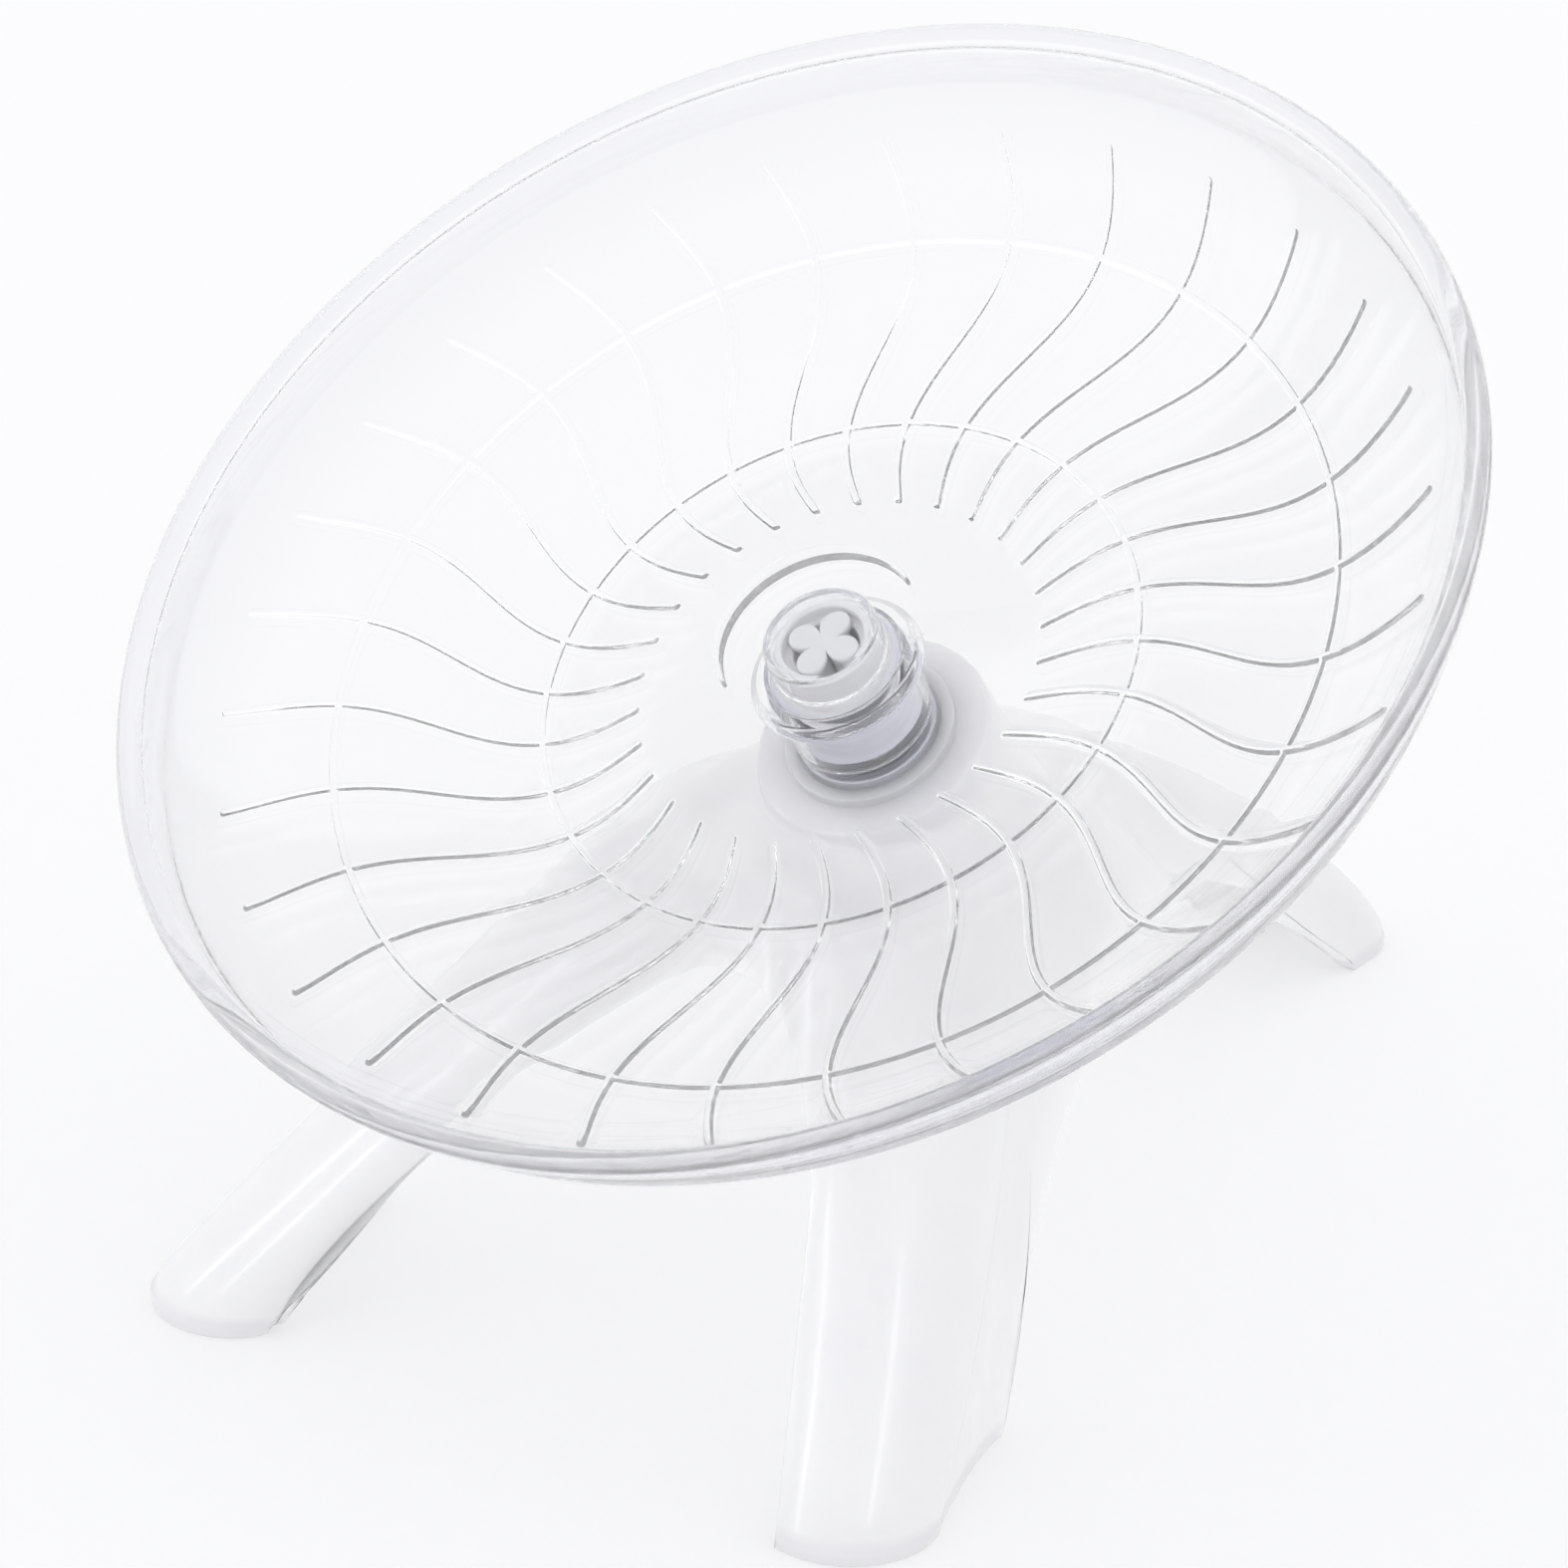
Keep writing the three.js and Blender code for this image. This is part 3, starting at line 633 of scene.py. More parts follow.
@dataclass(frozen=True)
class FrostedPlastic:
    """Milky translucent plastic with a satin skin. Its clouds are the patterns of colour, wear and grain.

    Attributes:
        dark: Colour where the plastic is thinner.
        light: Colour where it is milkier.
        fades: Other colours that take over farther away.
        scatter: How far each colour travels inside, as shares of `scatter_reach`.
        scatter_reach: Longest way of light inside, in metres.
        coat: Weight and roughness of the smooth skin.
        rough: Lowest and highest roughness.
        swell_height: Height of the unevenness, in millimetres.
        grain_height: Height of the grain, in millimetres.
    """

    name: str
    dark: Colour = (0.728, 0.728, 0.755)
    light: Colour = (0.772, 0.772, 0.794)
    fades: tuple[Fade, ...] = ()
    ior: float = 1.5
    scatter: Colour = (1.0, 0.98, 0.97)
    scatter_reach: float = 0.012
    coat: Pair = (0.4, 0.15)
    rough: Pair = (0.3, 0.42)
    clouds: Cloud = Cloud(14.0, 4.0)
    wear: Cloud = Cloud(1.8, 4.0)
    swell: Cloud = Cloud(20.0, 1.0)
    swell_height: float = 0.05
    grain: Cloud = Cloud(0.35, 3.0)
    grain_height: float = 0.006

    def material(self) -> Material:
        """Builds the node material.

        Returns:
            The material.
        """
        nodes = Nodes(self.name)
        nodes.set(
            IOR=self.ior, Subsurface_Weight=1.0, Subsurface_Radius=self.scatter,
            Subsurface_Scale=self.scatter_reach, Coat_Weight=self.coat[0], Coat_Roughness=self.coat[1],
        )
        place = nodes.place()
        nodes.tint(nodes.noise(place, self.clouds), self.dark, self.light, self.fades)
        nodes.roughen(nodes.noise(place, self.wear), self.rough)
        nodes.relief([
            (nodes.noise(place, self.swell), self.swell_height),
            (nodes.noise(place, self.grain), self.grain_height),
        ])
        return nodes.material


@dataclass(frozen=True)
class SatinPlastic:
    """Moulded plastic with a satin skin. Its clouds are the patterns of colour, wear and grain.

    Attributes:
        dark: Darker colour of its mottle.
        light: Lighter colour of its mottle.
        rough: Lowest and highest roughness.
        fades: Other colours that take over farther away.
        scatter: Share of light that travels inside.
        scatter_reach: How far it travels, in metres.
        grain_height: Height of the grain, in millimetres.
    """

    name: str
    dark: Colour
    light: Colour
    rough: Pair = (0.32, 0.45)
    fades: tuple[Fade, ...] = ()
    ior: float = 1.48
    scatter: float = 0.1
    scatter_reach: float = 0.001
    clouds: Cloud = Cloud(5.0, 4.0)
    wear: Cloud = Cloud(0.8, 4.0)
    grain: Cloud = Cloud(0.25, 2.0)
    grain_height: float = 0.004

    def material(self) -> Material:
        """Builds the node material.

        Returns:
            The material.
        """
        nodes = Nodes(self.name)
        nodes.set(
            IOR=self.ior, Subsurface_Weight=self.scatter, Subsurface_Radius=(1.0, 1.0, 1.0),
            Subsurface_Scale=self.scatter_reach,
        )
        place = nodes.place()
        nodes.tint(nodes.noise(place, self.clouds), self.dark, self.light, self.fades)
        nodes.roughen(nodes.noise(place, self.wear), self.rough)
        nodes.relief([(nodes.noise(place, self.grain), self.grain_height)])
        return nodes.material


@dataclass(frozen=True)
class TurnedMetal:
    """Ground or plated metal with marks that run round the piece.

    Attributes:
        dark: Colour in the marks.
        light: Colour of the polished ground.
        rough: Lowest and highest roughness.
        marks: Depth of the marks, in millimetres.
        stretch: Scale of the marks round the piece, along its outline and across both.
        rings: Pattern that the stretch draws out into marks.
        dent_depth: Depth of the unevenness, in millimetres.
    """

    name: str
    dark: Colour
    light: Colour
    rough: Pair = (0.16, 0.3)
    marks: float = 0.003
    stretch: Place = (0.002, 0.01, 1.0)
    rings: Cloud = Cloud(1.2, 4.0)
    dents: Cloud = Cloud(2.0)
    dent_depth: float = 0.004

    def material(self) -> Material:
        """Builds the node material.

        Returns:
            The material.
        """
        nodes = Nodes(self.name)
        nodes.set(Metallic=1.0)
        rings = nodes.noise(nodes.place(self.stretch, on_surface=True), self.rings)
        nodes.tint(rings, self.dark, self.light)
        nodes.roughen(rings, self.rough)
        nodes.relief([(rings, self.marks), (nodes.noise(nodes.place(), self.dents), self.dent_depth)])
        return nodes.material


# Sub-assemblies


@dataclass(frozen=True)
class Ribs:
    """Raised S-shaped ribs and ring ribs of the running surface.

    Attributes:
        flank: Width of the slope at a rib's side.
        margin: How far a slope starts outside the half width.
        wave: Radial length of one S.
        sway: How far an S swings to either side.
        phase: Angle of the first rib's outer end.
        near: Distances of the columns that follow a rib's centre line.
        far: Shares of the gap to the next rib at which the other columns stand.
        end_steps: Distances of the rows about a rib's ends.
        ring_steps: Distances of the rows about a ring rib.
        row_gap: Largest distance between the other rows.
    """

    count: int = 30
    inner: float = 26.9
    outer: float = 80.4
    half_width: float = 0.65
    height: float = 0.6
    flank: float = 0.4
    margin: float = 0.03
    wave: float = 55.0
    sway: float = 3.9
    phase: float = np.radians(4.83)
    rings: Pair = (40.2, 67.1)
    ring_half_width: float = 0.55
    ring_height: float = 0.5
    near: tuple[float, ...] = (-0.72, -0.62, -0.54, -0.46, -0.3, 0.0, 0.3, 0.46, 0.54, 0.62, 0.72)
    far: tuple[float, ...] = (0.12, 0.3, 0.5, 0.7, 0.88)
    end_steps: tuple[float, ...] = (0.0, 0.3, 0.45, 0.54, 0.62, 0.72)
    ring_steps: tuple[float, ...] = (-0.62, -0.54, -0.46, -0.38, -0.3, 0.0, 0.3, 0.38, 0.46, 0.54, 0.62)
    row_gap: float = 1.9

    def drift(self, radius: Array) -> Array:
        """Angle of a rib's centre at a radius: sway times the sine of the distance from the outer end."""
        held = np.clip(radius, self.inner, self.outer)
        return -self.sway * np.sin(TURN * (self.outer - held) / self.wave) / held

    def angles(self, radius: Array) -> Array:
        """Angles of all columns at each radius.

        Args:
            radius: Radii, shape (rows, 1).

        Returns:
            Angles, shape (rows, columns).
        """
        held = np.clip(radius, self.inner, self.outer)
        pitch = TURN / self.count
        near = np.array(self.near) / held
        edge = self.near[-1] / held
        far = edge + np.array(self.far) * (pitch - 2 * edge)
        one = np.concatenate([near, far], axis=1)[:, None, :]
        turns = np.arange(self.count)[None, :, None] * pitch
        return (self.phase + self.drift(radius)[:, :, None] + turns + one).reshape(len(radius), -1)

    def offsets(self, radius: Array) -> Array:
        """Distance of each column from the nearest rib's centre line.

        Args:
            radius: Radii, shape (rows, 1).

        Returns:
            Distances along the circle, shape (rows, columns).
        """
        held = np.clip(radius, self.inner, self.outer)
        pitch = TURN / self.count
        near = np.broadcast_to(np.abs(self.near), (len(radius), len(self.near)))
        edge = self.near[-1] / held
        share = np.minimum(self.far, 1 - np.array(self.far))
        far = (edge + share * (pitch - 2 * edge)) * held
        return np.tile(np.concatenate([near, far], axis=1), (1, self.count))

    def relief(self, radius: Array) -> Array:
        """Height of ribs and ring ribs above the bowl.

        A rib's height falls over its flank with the distance from its centre line, whose ends stop half a
        width short, so that they close in a half circle. A ring rib's falls with the distance from its
        radius. The higher of the two shows.

        Args:
            radius: Radii, shape (rows, 1).

        Returns:
            Heights, shape (rows, columns).
        """
        middle = (self.outer + self.inner) / 2
        half_length = (self.outer - self.inner) / 2 - self.half_width
        beyond = np.maximum(np.abs(radius - middle) - half_length, 0.0)
        distance = np.hypot(self.offsets(radius), beyond)
        ribs = self.height * smooth_step((self.half_width + self.margin - distance) / self.flank)
        rings = np.zeros_like(radius)
        for ring in self.rings:
            reach = self.ring_half_width + self.margin - np.abs(radius - ring)
            rings = np.maximum(rings, self.ring_height * smooth_step(reach / self.flank))
        return np.maximum(ribs, rings)

    def rows(self) -> Array:
        """Radii of the rows of the running surface: close at rib ends and ring ribs, and even between.

        Returns:
            The radii in rising order.
        """
        end_steps, ring_steps = np.array(self.end_steps), np.array(self.ring_steps)
        stops = [self.inner + self.half_width]
        for ring in self.rings:
            stops += [ring - ring_steps[-1], ring + ring_steps[-1]]
        stops.append(self.outer - self.half_width)
        parts = [stops[0] - end_steps[::-1], stops[-1] + end_steps]
        parts += [ring + ring_steps for ring in self.rings]
        for start, end in zip(stops[0::2], stops[1::2]):
            count = int(np.ceil((end - start) / self.row_gap))
            parts.append(np.linspace(start, end, count + 1)[1:-1])
        return np.sort(np.concatenate(parts))


@dataclass(frozen=True)
class Crescent:
    """Half-moon rib on the bowl's floor beside the hub, which tapers to both tips.

    Attributes:
        offset: Distance of its circle's centre from the hub.
        radius: Radius of its circle.
        tip_fade: Angle over which it sinks into the floor at a tip.
        flank: Rows across one side, as distances inwards from its edge and shares of its height.
        berth: Distance beside its edges at which the floor is plain.
    """

    offset: float = 6.4
    radius: float = 13.6
    width: float = 2.2
    tip: float = 0.4
    height: float = 1.2
    middle: float = np.radians(144)
    tip_fade: float = 0.05
    flank: tuple[Pair, ...] = (
        (-0.14, 0.0), (-0.06, 0.06), (0.0, 0.3), (0.06, 0.7), (0.12, 0.94), (0.19, 1.0),
    )
    berth: float = 0.2

    def edge(self, angle: Array, side: int) -> Array:
        """Distance from the hub to one of the crescent's edges in a direction.

        The arc's circle, seen from the hub, has the radius d cos a + sqrt(R^2 - d^2 sin^2 a). Past the tips
        it stays at the tips' distance.

        Args:
            angle: Directions.
            side: -1 for the inner edge, 1 for the outer one.

        Returns:
            Distances, in the shape of the directions.
        """
        turned = wrapped(angle - self.middle)
        reach = np.hypot(self.offset, self.radius)
        off_line = self.offset * np.sin(turned)
        circle = self.offset * np.cos(turned) + np.sqrt(self.radius**2 - off_line**2)
        centre = np.where(np.abs(turned) < self._tip_angle(), circle, reach)
        return centre + side * self._half_width(turned)

    def height_share(self, angle: Array) -> Array:
        """Share of the full height in a direction: 1 along the arc, 0 past its tips."""
        return smooth_step((self._tip_angle() - np.abs(wrapped(angle - self.middle))) / self.tip_fade)

    def _tip_angle(self) -> float:
        """Direction of the tips as seen from the hub."""
        return float(np.arctan2(self.radius, self.offset))

    def _half_width(self, turned: Array) -> Array:
        """Half the width, which swells from tip to middle as a cosine."""
        share = np.clip(np.abs(turned) / self._tip_angle(), 0, 1)
        return lerp(self.tip, self.width, np.cos(np.pi / 2 * share)) / 2


@dataclass
class Saucer:
    """Clear running dish with its lip, ribs, crescent rib and hub boss, as one closed skin.

    Attributes:
        wall_span: Radial width of the curved wall outside the flat floor.
        fullness: Power of the wall's curve. A smaller one makes a rounder bowl.
        bead: Radius of the rolled lip's section, which runs from the angle bead_start to bead_end.
        edge_row: Radius at which the band turns up to the lip.
        under_row: Radius at which the underside turns up to the lip.
        band_gaps: Distances of the plain band's first and last row from its two ends.
        step_gap: How far before the edge row the band starts to turn up.
        step_share: Share of the way from there to the lip at which that turn ends.
        groove: Place of the groove under the lip, from the lip's centre line and its lowest height.
        groove_share: Share of the way from the groove to the underside at which its curve ends.
        shoulder_share: Share of that way at which the underside's own turn starts.
        under_gaps: Distances of the underside's first two rows from the row at which it turns up.
        boss_gap: Distance of its last row from the boss.
        boss_root: Distance from the boss at which its root starts.
        collar_gap: Distance from the collar's foot to the floor's first point.
        even_by: Length of outline beyond the ribs over which the columns spread out evenly.
        inner_floor: Shares of the floor between collar and crescent at which rows stand.
        outer_floor: Shares of the floor between crescent and ribs at which rows stand.
        rim_reach: Distances from the axis's origin between which the rim's tint takes over.
    """

    axis: SpinAxis
    rim: float = 89.83
    depth: float = 25.2
    floor: float = 30.0
    wall_span: float = 60.0
    fullness: float = 0.62
    wall: float = 1.8
    bead: float = 1.7
    bead_start: float = np.radians(171)
    bead_end: float = np.radians(-82)
    bead_rows: int = 26
    edge_row: float = 86.15
    under_row: float = 86.7
    band_gaps: Pair = (0.5, 1.2)
    band_rows: int = 5
    step_gap: float = 0.9
    step_share: float = 0.35
    groove: Pair = (-0.12, 0.02)
    groove_share: float = 0.25
    shoulder_share: float = 0.12
    under_gaps: Pair = (1.1, 2.5)
    under_rows: int = 24
    boss_gap: float = 1.5
    bore: float = 8.3
    boss: float = 9.6
    boss_root: float = 1.2
    boss_top: float = -24.3
    boss_bottom: float = -36.2
    collar: float = 10.6
    collar_foot: float = 11.7
    collar_gap: float = 0.3
    corner: float = 0.35
    even_by: float = 5.5
    inner_floor: tuple[float, ...] = (0.06, 0.2, 0.45, 0.7, 0.88)
    outer_floor: tuple[float, ...] = (0.04, 0.15, 0.35, 0.55, 0.75, 0.92)
    rim_tint: Colour = (0.925, 0.927, 0.95)
    rim_reach: Pair = (78.0, 89.0)
    ribs: Ribs = field(default_factory=Ribs)
    crescent: Crescent = field(default_factory=Crescent)

    def bowl(self, radius: Array) -> Array:
        """Height of the plain upper face: -depth (1 - s^2)^fullness, with s from 0 on the floor to 1."""
        s = np.clip((np.asarray(radius, float) - self.floor) / self.wall_span, 0, 1)
        return -self.depth * (1 - s**2) ** self.fullness

    def build(self) -> Piece:
        """Joins floor, running surface, lip, underside and boss into one skin.

        Returns:
            The dish.
        """
        running = self._running()
        rest = self._lip_and_underside()
        ribbed = self.ribs.angles(rest[:1, :1])
        even = ribbed[0, 0] + around(ribbed.shape[1])
        outline = np.concatenate([[0.0], np.cumsum(np.linalg.norm(np.diff(rest, axis=0), axis=1))])
        angle = lerp(ribbed, even, smooth_step(outline[:, None] / self.even_by))
        points = np.concatenate([self._floor_rows(), running, polar(rest[:, :1], angle, rest[:, 1:])])
        return make_piece("saucer_dish", [Skin(self.axis.place(points), closed=True)])

    def dress(self, piece: Piece) -> Piece:
        """Gives the dish its clear plastic.

        Args:
            piece: The dish.

        Returns:
            The same object.
        """
        rim = Fade(self.rim_tint, self.rim_reach, tuple(self.axis.origin))
        finish = ClearPlastic("clear_saucer_plastic", fades=(rim,))
        return finish_piece(piece, Body.WHEEL, ["saucer"], finish.material())

    def _running(self) -> Array:
        """Running surface: the bowl's height plus the ribs' relief on every row.

        Returns:
            Local points, shape (rows, columns, 3).
        """
        radius = self.ribs.rows()[:, None]
        return polar(radius, self.ribs.angles(radius), self.bowl(radius) + self.ribs.relief(radius))

    def _upper(self, radius: Array) -> Array:
        """(radius, height) points of the plain upper face."""
        return np.stack([radius, self.bowl(radius)], -1)

    def _under(self, radius: Array) -> Array:
        """(radius, height) points of the underside: a wall below the upper face half a wall farther in."""
        return np.stack([radius, self.bowl(radius - self.wall / 2) - self.wall], -1)

    def _floor_rows(self) -> Array:
        """Floor from the boss to the ribs, with rows that follow the crescent's two edges.

        Each row lies at a share of the way between the boss's foot and the crescent's inner edge, at a
        distance beside one of its edges, or at a share of the way out to the first rib row.

        Returns:
            Local points, shape (rows, columns, 3).
        """
        first, moon = self.ribs.rows()[0], self.crescent
        angle = self.ribs.angles(np.array([[first]]))
        inner, outer = moon.edge(angle, -1), moon.edge(angle, 1)
        rise = moon.height * moon.height_share(angle)
        rows = [(lerp(self.collar_foot, inner - moon.berth, share), 0.0) for share in self.inner_floor]
        rows += [(inner + step, share) for step, share in moon.flank]
        rows.append(((inner + outer) / 2, 1.0))
        rows += [(outer - step, share) for step, share in reversed(moon.flank)]
        rows += [(lerp(outer + moon.berth, first, share), 0.0) for share in self.outer_floor]
        radius = np.concatenate([row for row, _ in rows])
        height = -self.depth + np.concatenate([rise * share for _, share in rows])
        return polar(radius, angle, height)

    def _lip_and_underside(self) -> Array:
        """Outline of the plain band, the rolled lip, the underside and the boss.

        Returns:
            (radius, height) points from the ribs' outer ends round to the boss's upper edge.
        """
        first, last = self.ribs.rows()[-1] + self.band_gaps[0], self.edge_row - self.band_gaps[1]
        band = np.linspace(first, last, self.band_rows)
        centre = np.array([self.rim - self.bead, -self.bead])
        turn = np.linspace(self.bead_start, self.bead_end, self.bead_rows)
        bead = centre + self.bead * np.stack([np.cos(turn), np.sin(turn)], -1)
        corner = self._upper(self.edge_row)
        start = self._upper(self.edge_row - self.step_gap)
        step_up = corner_curve(start, corner, lerp(corner, bead[0], self.step_share), 7)
        under_top = self._under(self.under_row)
        groove = np.array([centre[0], -2 * self.bead]) + self.groove
        hollow = corner_curve(bead[-1], groove, lerp(groove, under_top, self.groove_share), 6)[1:]
        nearest, next_one = self.under_gaps
        gaps = np.linspace(next_one, self.under_row - self.boss - self.boss_gap, self.under_rows)
        under = self._under(self.under_row - np.concatenate([[nearest], gaps]))
        shoulder = corner_curve(lerp(under_top, groove, self.shoulder_share), under_top, under[0], 6)
        root = float(self.bowl(0.0)) - self.wall
        boss = rounded([
            (self.boss + self.boss_root, root), (self.boss, root), (self.boss, self.boss_bottom),
            (self.bore, self.boss_bottom), (self.bore, self.boss_top), (self.collar, self.boss_top),
            (self.collar_foot, -self.depth), (self.collar_foot + self.collar_gap, -self.depth),
        ], self.corner, closed=False)
        return np.concatenate([self._upper(band), step_up, bead, hollow, shoulder[:-1], under, boss[:-1]])


@dataclass
class Hub:
    """Cap, sleeve and spindle on the spin axis.

    Attributes:
        cap_bevel: Size of the bevel round the cap's top.
        skirt_edge: Height of the skirt's upright edge.
        skirt_root: Size of the fillet above the skirt, outwards and upwards.
        vane_waist: Distance from the axis to the hollow between two vanes.
        vane_power: Power of the vanes' outline. A smaller one makes fuller lobes.
        petal_reach: Reach of the petals that the vanes spread to in the sleeve's recess.
        petal_middle: Share of their reach at which the petals' top has its inner row.
        petal_lift: Heights above the recess's floor between which a petal narrows to its vane.
        inner_rows: Radii of the rows in the middle of the flange and of the hole's end.
        fine_columns: Number of angles by which the cross's length is measured.
        white: Darker and lighter colour of sleeve and spindle.
        lavender_reach: Distances from the crown at which the sleeve's lower colour takes over.
        flange_shade_reach: Distances from the crown at which the spindle's lower colour, a painted shade for
            the shadow under the sleeve, takes over.
        sheen: Lowest and highest roughness of the spindle.
    """

    axis: SpinAxis
    sleeve_radius: float = 8.0
    sleeve_bottom: float = -35.1
    sleeve_shoulder: float = -24.6
    neck_radius: float = 6.5
    sleeve_top: float = -19.6
    sleeve_bore: float = 4.4
    cap_top: float = -17.7
    cap_bottom: float = -24.0
    cap_wall: float = 0.9
    cap_inside: float = 6.8
    cap_bevel: float = 0.5
    skirt_radius: float = 9.4
    skirt_height: float = 1.4
    skirt_edge: float = 0.55
    skirt_root: Pair = (0.3, 0.5)
    vane_reach: float = 4.1
    vane_waist: float = 1.0
    vane_power: float = 0.55
    vane_top: float = -19.9
    petal_reach: float = 5.15
    petal_recess: float = 5.5
    petal_floor: float = -21.3
    petal_middle: float = 0.5
    petal_lift: Pair = (0.35, 0.3)
    flange_radius: float = 5.2
    flange_top: float = -35.4
    flange_bottom: float = -37.7
    journal_radius: float = 3.7
    journal_end: float = -43.7
    pilot_radius: float = 1.8
    pilot_top: float = -36.8
    inner_rows: Pair = (1.2, 0.4)
    corner: float = 0.3
    fine_corner: float = 0.25
    post_rows: int = 12
    columns: int = 192
    fine_columns: int = 4001
    cap_tint: Colour = (0.985, 0.987, 0.995)
    white: tuple[Colour, ...] = ((0.95, 0.95, 0.965), (0.98, 0.98, 0.99))
    lavender: Colour = (0.88, 0.88, 0.995)
    lavender_reach: Pair = (8.4, 9.4)
    # Painted shade: a near-black colour on the spindle's lower part, where the shadow under the sleeve falls.
    flange_shade: Colour = (0.16, 0.16, 0.19)
    flange_shade_reach: Pair = (13.0, 15.0)
    sheen: Pair = (0.15, 0.25)

    def build(self) -> Pieces:
        """Builds the three pieces.

        Returns:
            The pieces by the names of their nodes.
        """
        return {
            "hub_cap": make_piece("clear_hub_cap", [self._cap()]),
            "hub_sleeve": make_piece("grey_hub_sleeve", [self._sleeve()]),
            "spindle": make_piece("vaned_spindle", [self._spindle()]),
        }

    def dress(self, pieces: Pieces) -> None:
        """Gives cap, sleeve and spindle their plastics.

        Args:
            pieces: The pieces by the names of their nodes.
        """
        crown = tuple(self.axis.circle(np.zeros(1), 0.0, self.sleeve_top)[0])
        lower = Fade(self.lavender, self.lavender_reach, crown)
        # Painted shade darkens the spindle's flange and journal, in place of the shadow under the sleeve.
        flange_shading = Fade(self.flange_shade, self.flange_shade_reach, crown)
        cap = ClearPlastic("clear_cap_plastic", tint=self.cap_tint, ripple=0.01)
        sleeve = SatinPlastic("sleeve_satin", *self.white, fades=(lower,))
        spindle = SatinPlastic("spindle_nylon", *self.white, rough=self.sheen, fades=(flange_shading,))
        looks = {
            "hub_cap": ("clear_cap", cap),
            "hub_sleeve": ("sleeve_grey", sleeve),
            "spindle": ("spindle_white", spindle),
        }
        for node, (slot, finish) in looks.items():
            finish_piece(pieces[node], Body.WHEEL, [node], finish.material())

    def _cap(self) -> Skin:
        """Domed cap: outer shell, flared skirt and hollow inside, turned about the axis.

        Returns:
            The closed skin.
        """
        outside = self.cap_inside + self.cap_wall
        shoulder = self.cap_bottom + self.skirt_height
        root_out, root_up = self.skirt_root
        outline = rounded([
            (0.0, self.cap_top), (outside - self.cap_bevel, self.cap_top),
            (outside, self.cap_top - self.cap_bevel), (outside, shoulder + root_up),
            (outside + root_out, shoulder), (self.skirt_radius, self.cap_bottom + self.skirt_edge),
            (self.skirt_radius, self.cap_bottom), (self.cap_inside, self.cap_bottom),
            (self.cap_inside, self.cap_top - self.cap_wall), (0.0, self.cap_top - self.cap_wall),
        ], self.corner, closed=False)
        return Skin(self.axis.place(lathe(outline, self.columns, closed=False)), closed=False)

    def _sleeve(self) -> Skin:
        """Stepped sleeve with its bore and a shallow recess at the top, turned about the axis.

        Returns:
            The closed skin.
        """
        outline = rounded([
            (self.sleeve_bore, self.sleeve_bottom), (self.sleeve_radius, self.sleeve_bottom),
            (self.sleeve_radius, self.sleeve_shoulder), (self.neck_radius, self.sleeve_shoulder),
            (self.neck_radius, self.sleeve_top), (self.petal_recess, self.sleeve_top),
            (self.petal_recess, self.petal_floor), (self.sleeve_bore, self.petal_floor),
        ], self.corner)
        return Skin(self.axis.place(lathe(outline, self.columns)), closed=True)

    def _cross(self, angle: Array) -> Array:
        """Polar radius of the four-lobed post: waist + (reach - waist) |cos 2a|^power."""
        lobe = np.abs(np.cos(2 * angle)) ** self.vane_power
        return self.vane_waist + (self.vane_reach - self.vane_waist) * lobe

    def _spindle(self) -> Skin:
        """Vaned post, flange, journal and pilot hole as one skin.

        Every row is a ring in polar form. On the post it follows the cross, spread to petals in the sleeve's
        recess and drawn in a little at the top edge, and below it is a circle. Columns share the cross's arc
        length evenly.

        Returns:
            The closed skin.
        """
        fine = np.linspace(0, TURN, self.fine_columns)
        cross = self._cross(fine)
        path = np.stack([cross * np.cos(fine), cross * np.sin(fine)], -1)
        length = np.concatenate([[0.0], np.cumsum(np.linalg.norm(np.diff(path, axis=0), axis=1))])
        angle = np.interp(np.linspace(0, length[-1], self.columns, endpoint=False), length, fine)
        cross = self._cross(angle)
        corner = np.array([[-self.corner, 0.0], [0.0, 0.0], [0.0, -self.corner]])
        petals = cross * self.petal_reach / self.vane_reach
        wide, narrow = self.petal_lift
        post = [(petals * self.petal_middle, self.vane_top)]
        post += [(petals + inset, self.vane_top + drop) for inset, drop in corner_curve(*corner, 6)]
        post += [(petals, self.petal_floor + wide), (cross, self.petal_floor + narrow)]
        post += [(cross, height) for height in np.linspace(self.petal_floor, self.flange_top, self.post_rows)]
        below = rounded([
            (self.inner_rows[0], self.flange_top), (self.flange_radius, self.flange_top),
            (self.flange_radius, self.flange_bottom), (self.journal_radius, self.flange_bottom),
            (self.journal_radius, self.journal_end), (self.pilot_radius, self.journal_end),
            (self.pilot_radius, self.pilot_top), (self.inner_rows[1], self.pilot_top),
        ], self.fine_corner, closed=False)[1:]
        rings = post + [(np.full_like(cross, radius), height) for radius, height in below]
        radius = np.stack([ring for ring, _ in rings])
        height = np.array([level for _, level in rings])[:, None]
        return Skin(self.axis.place(polar(radius, angle, height)), closed=False)


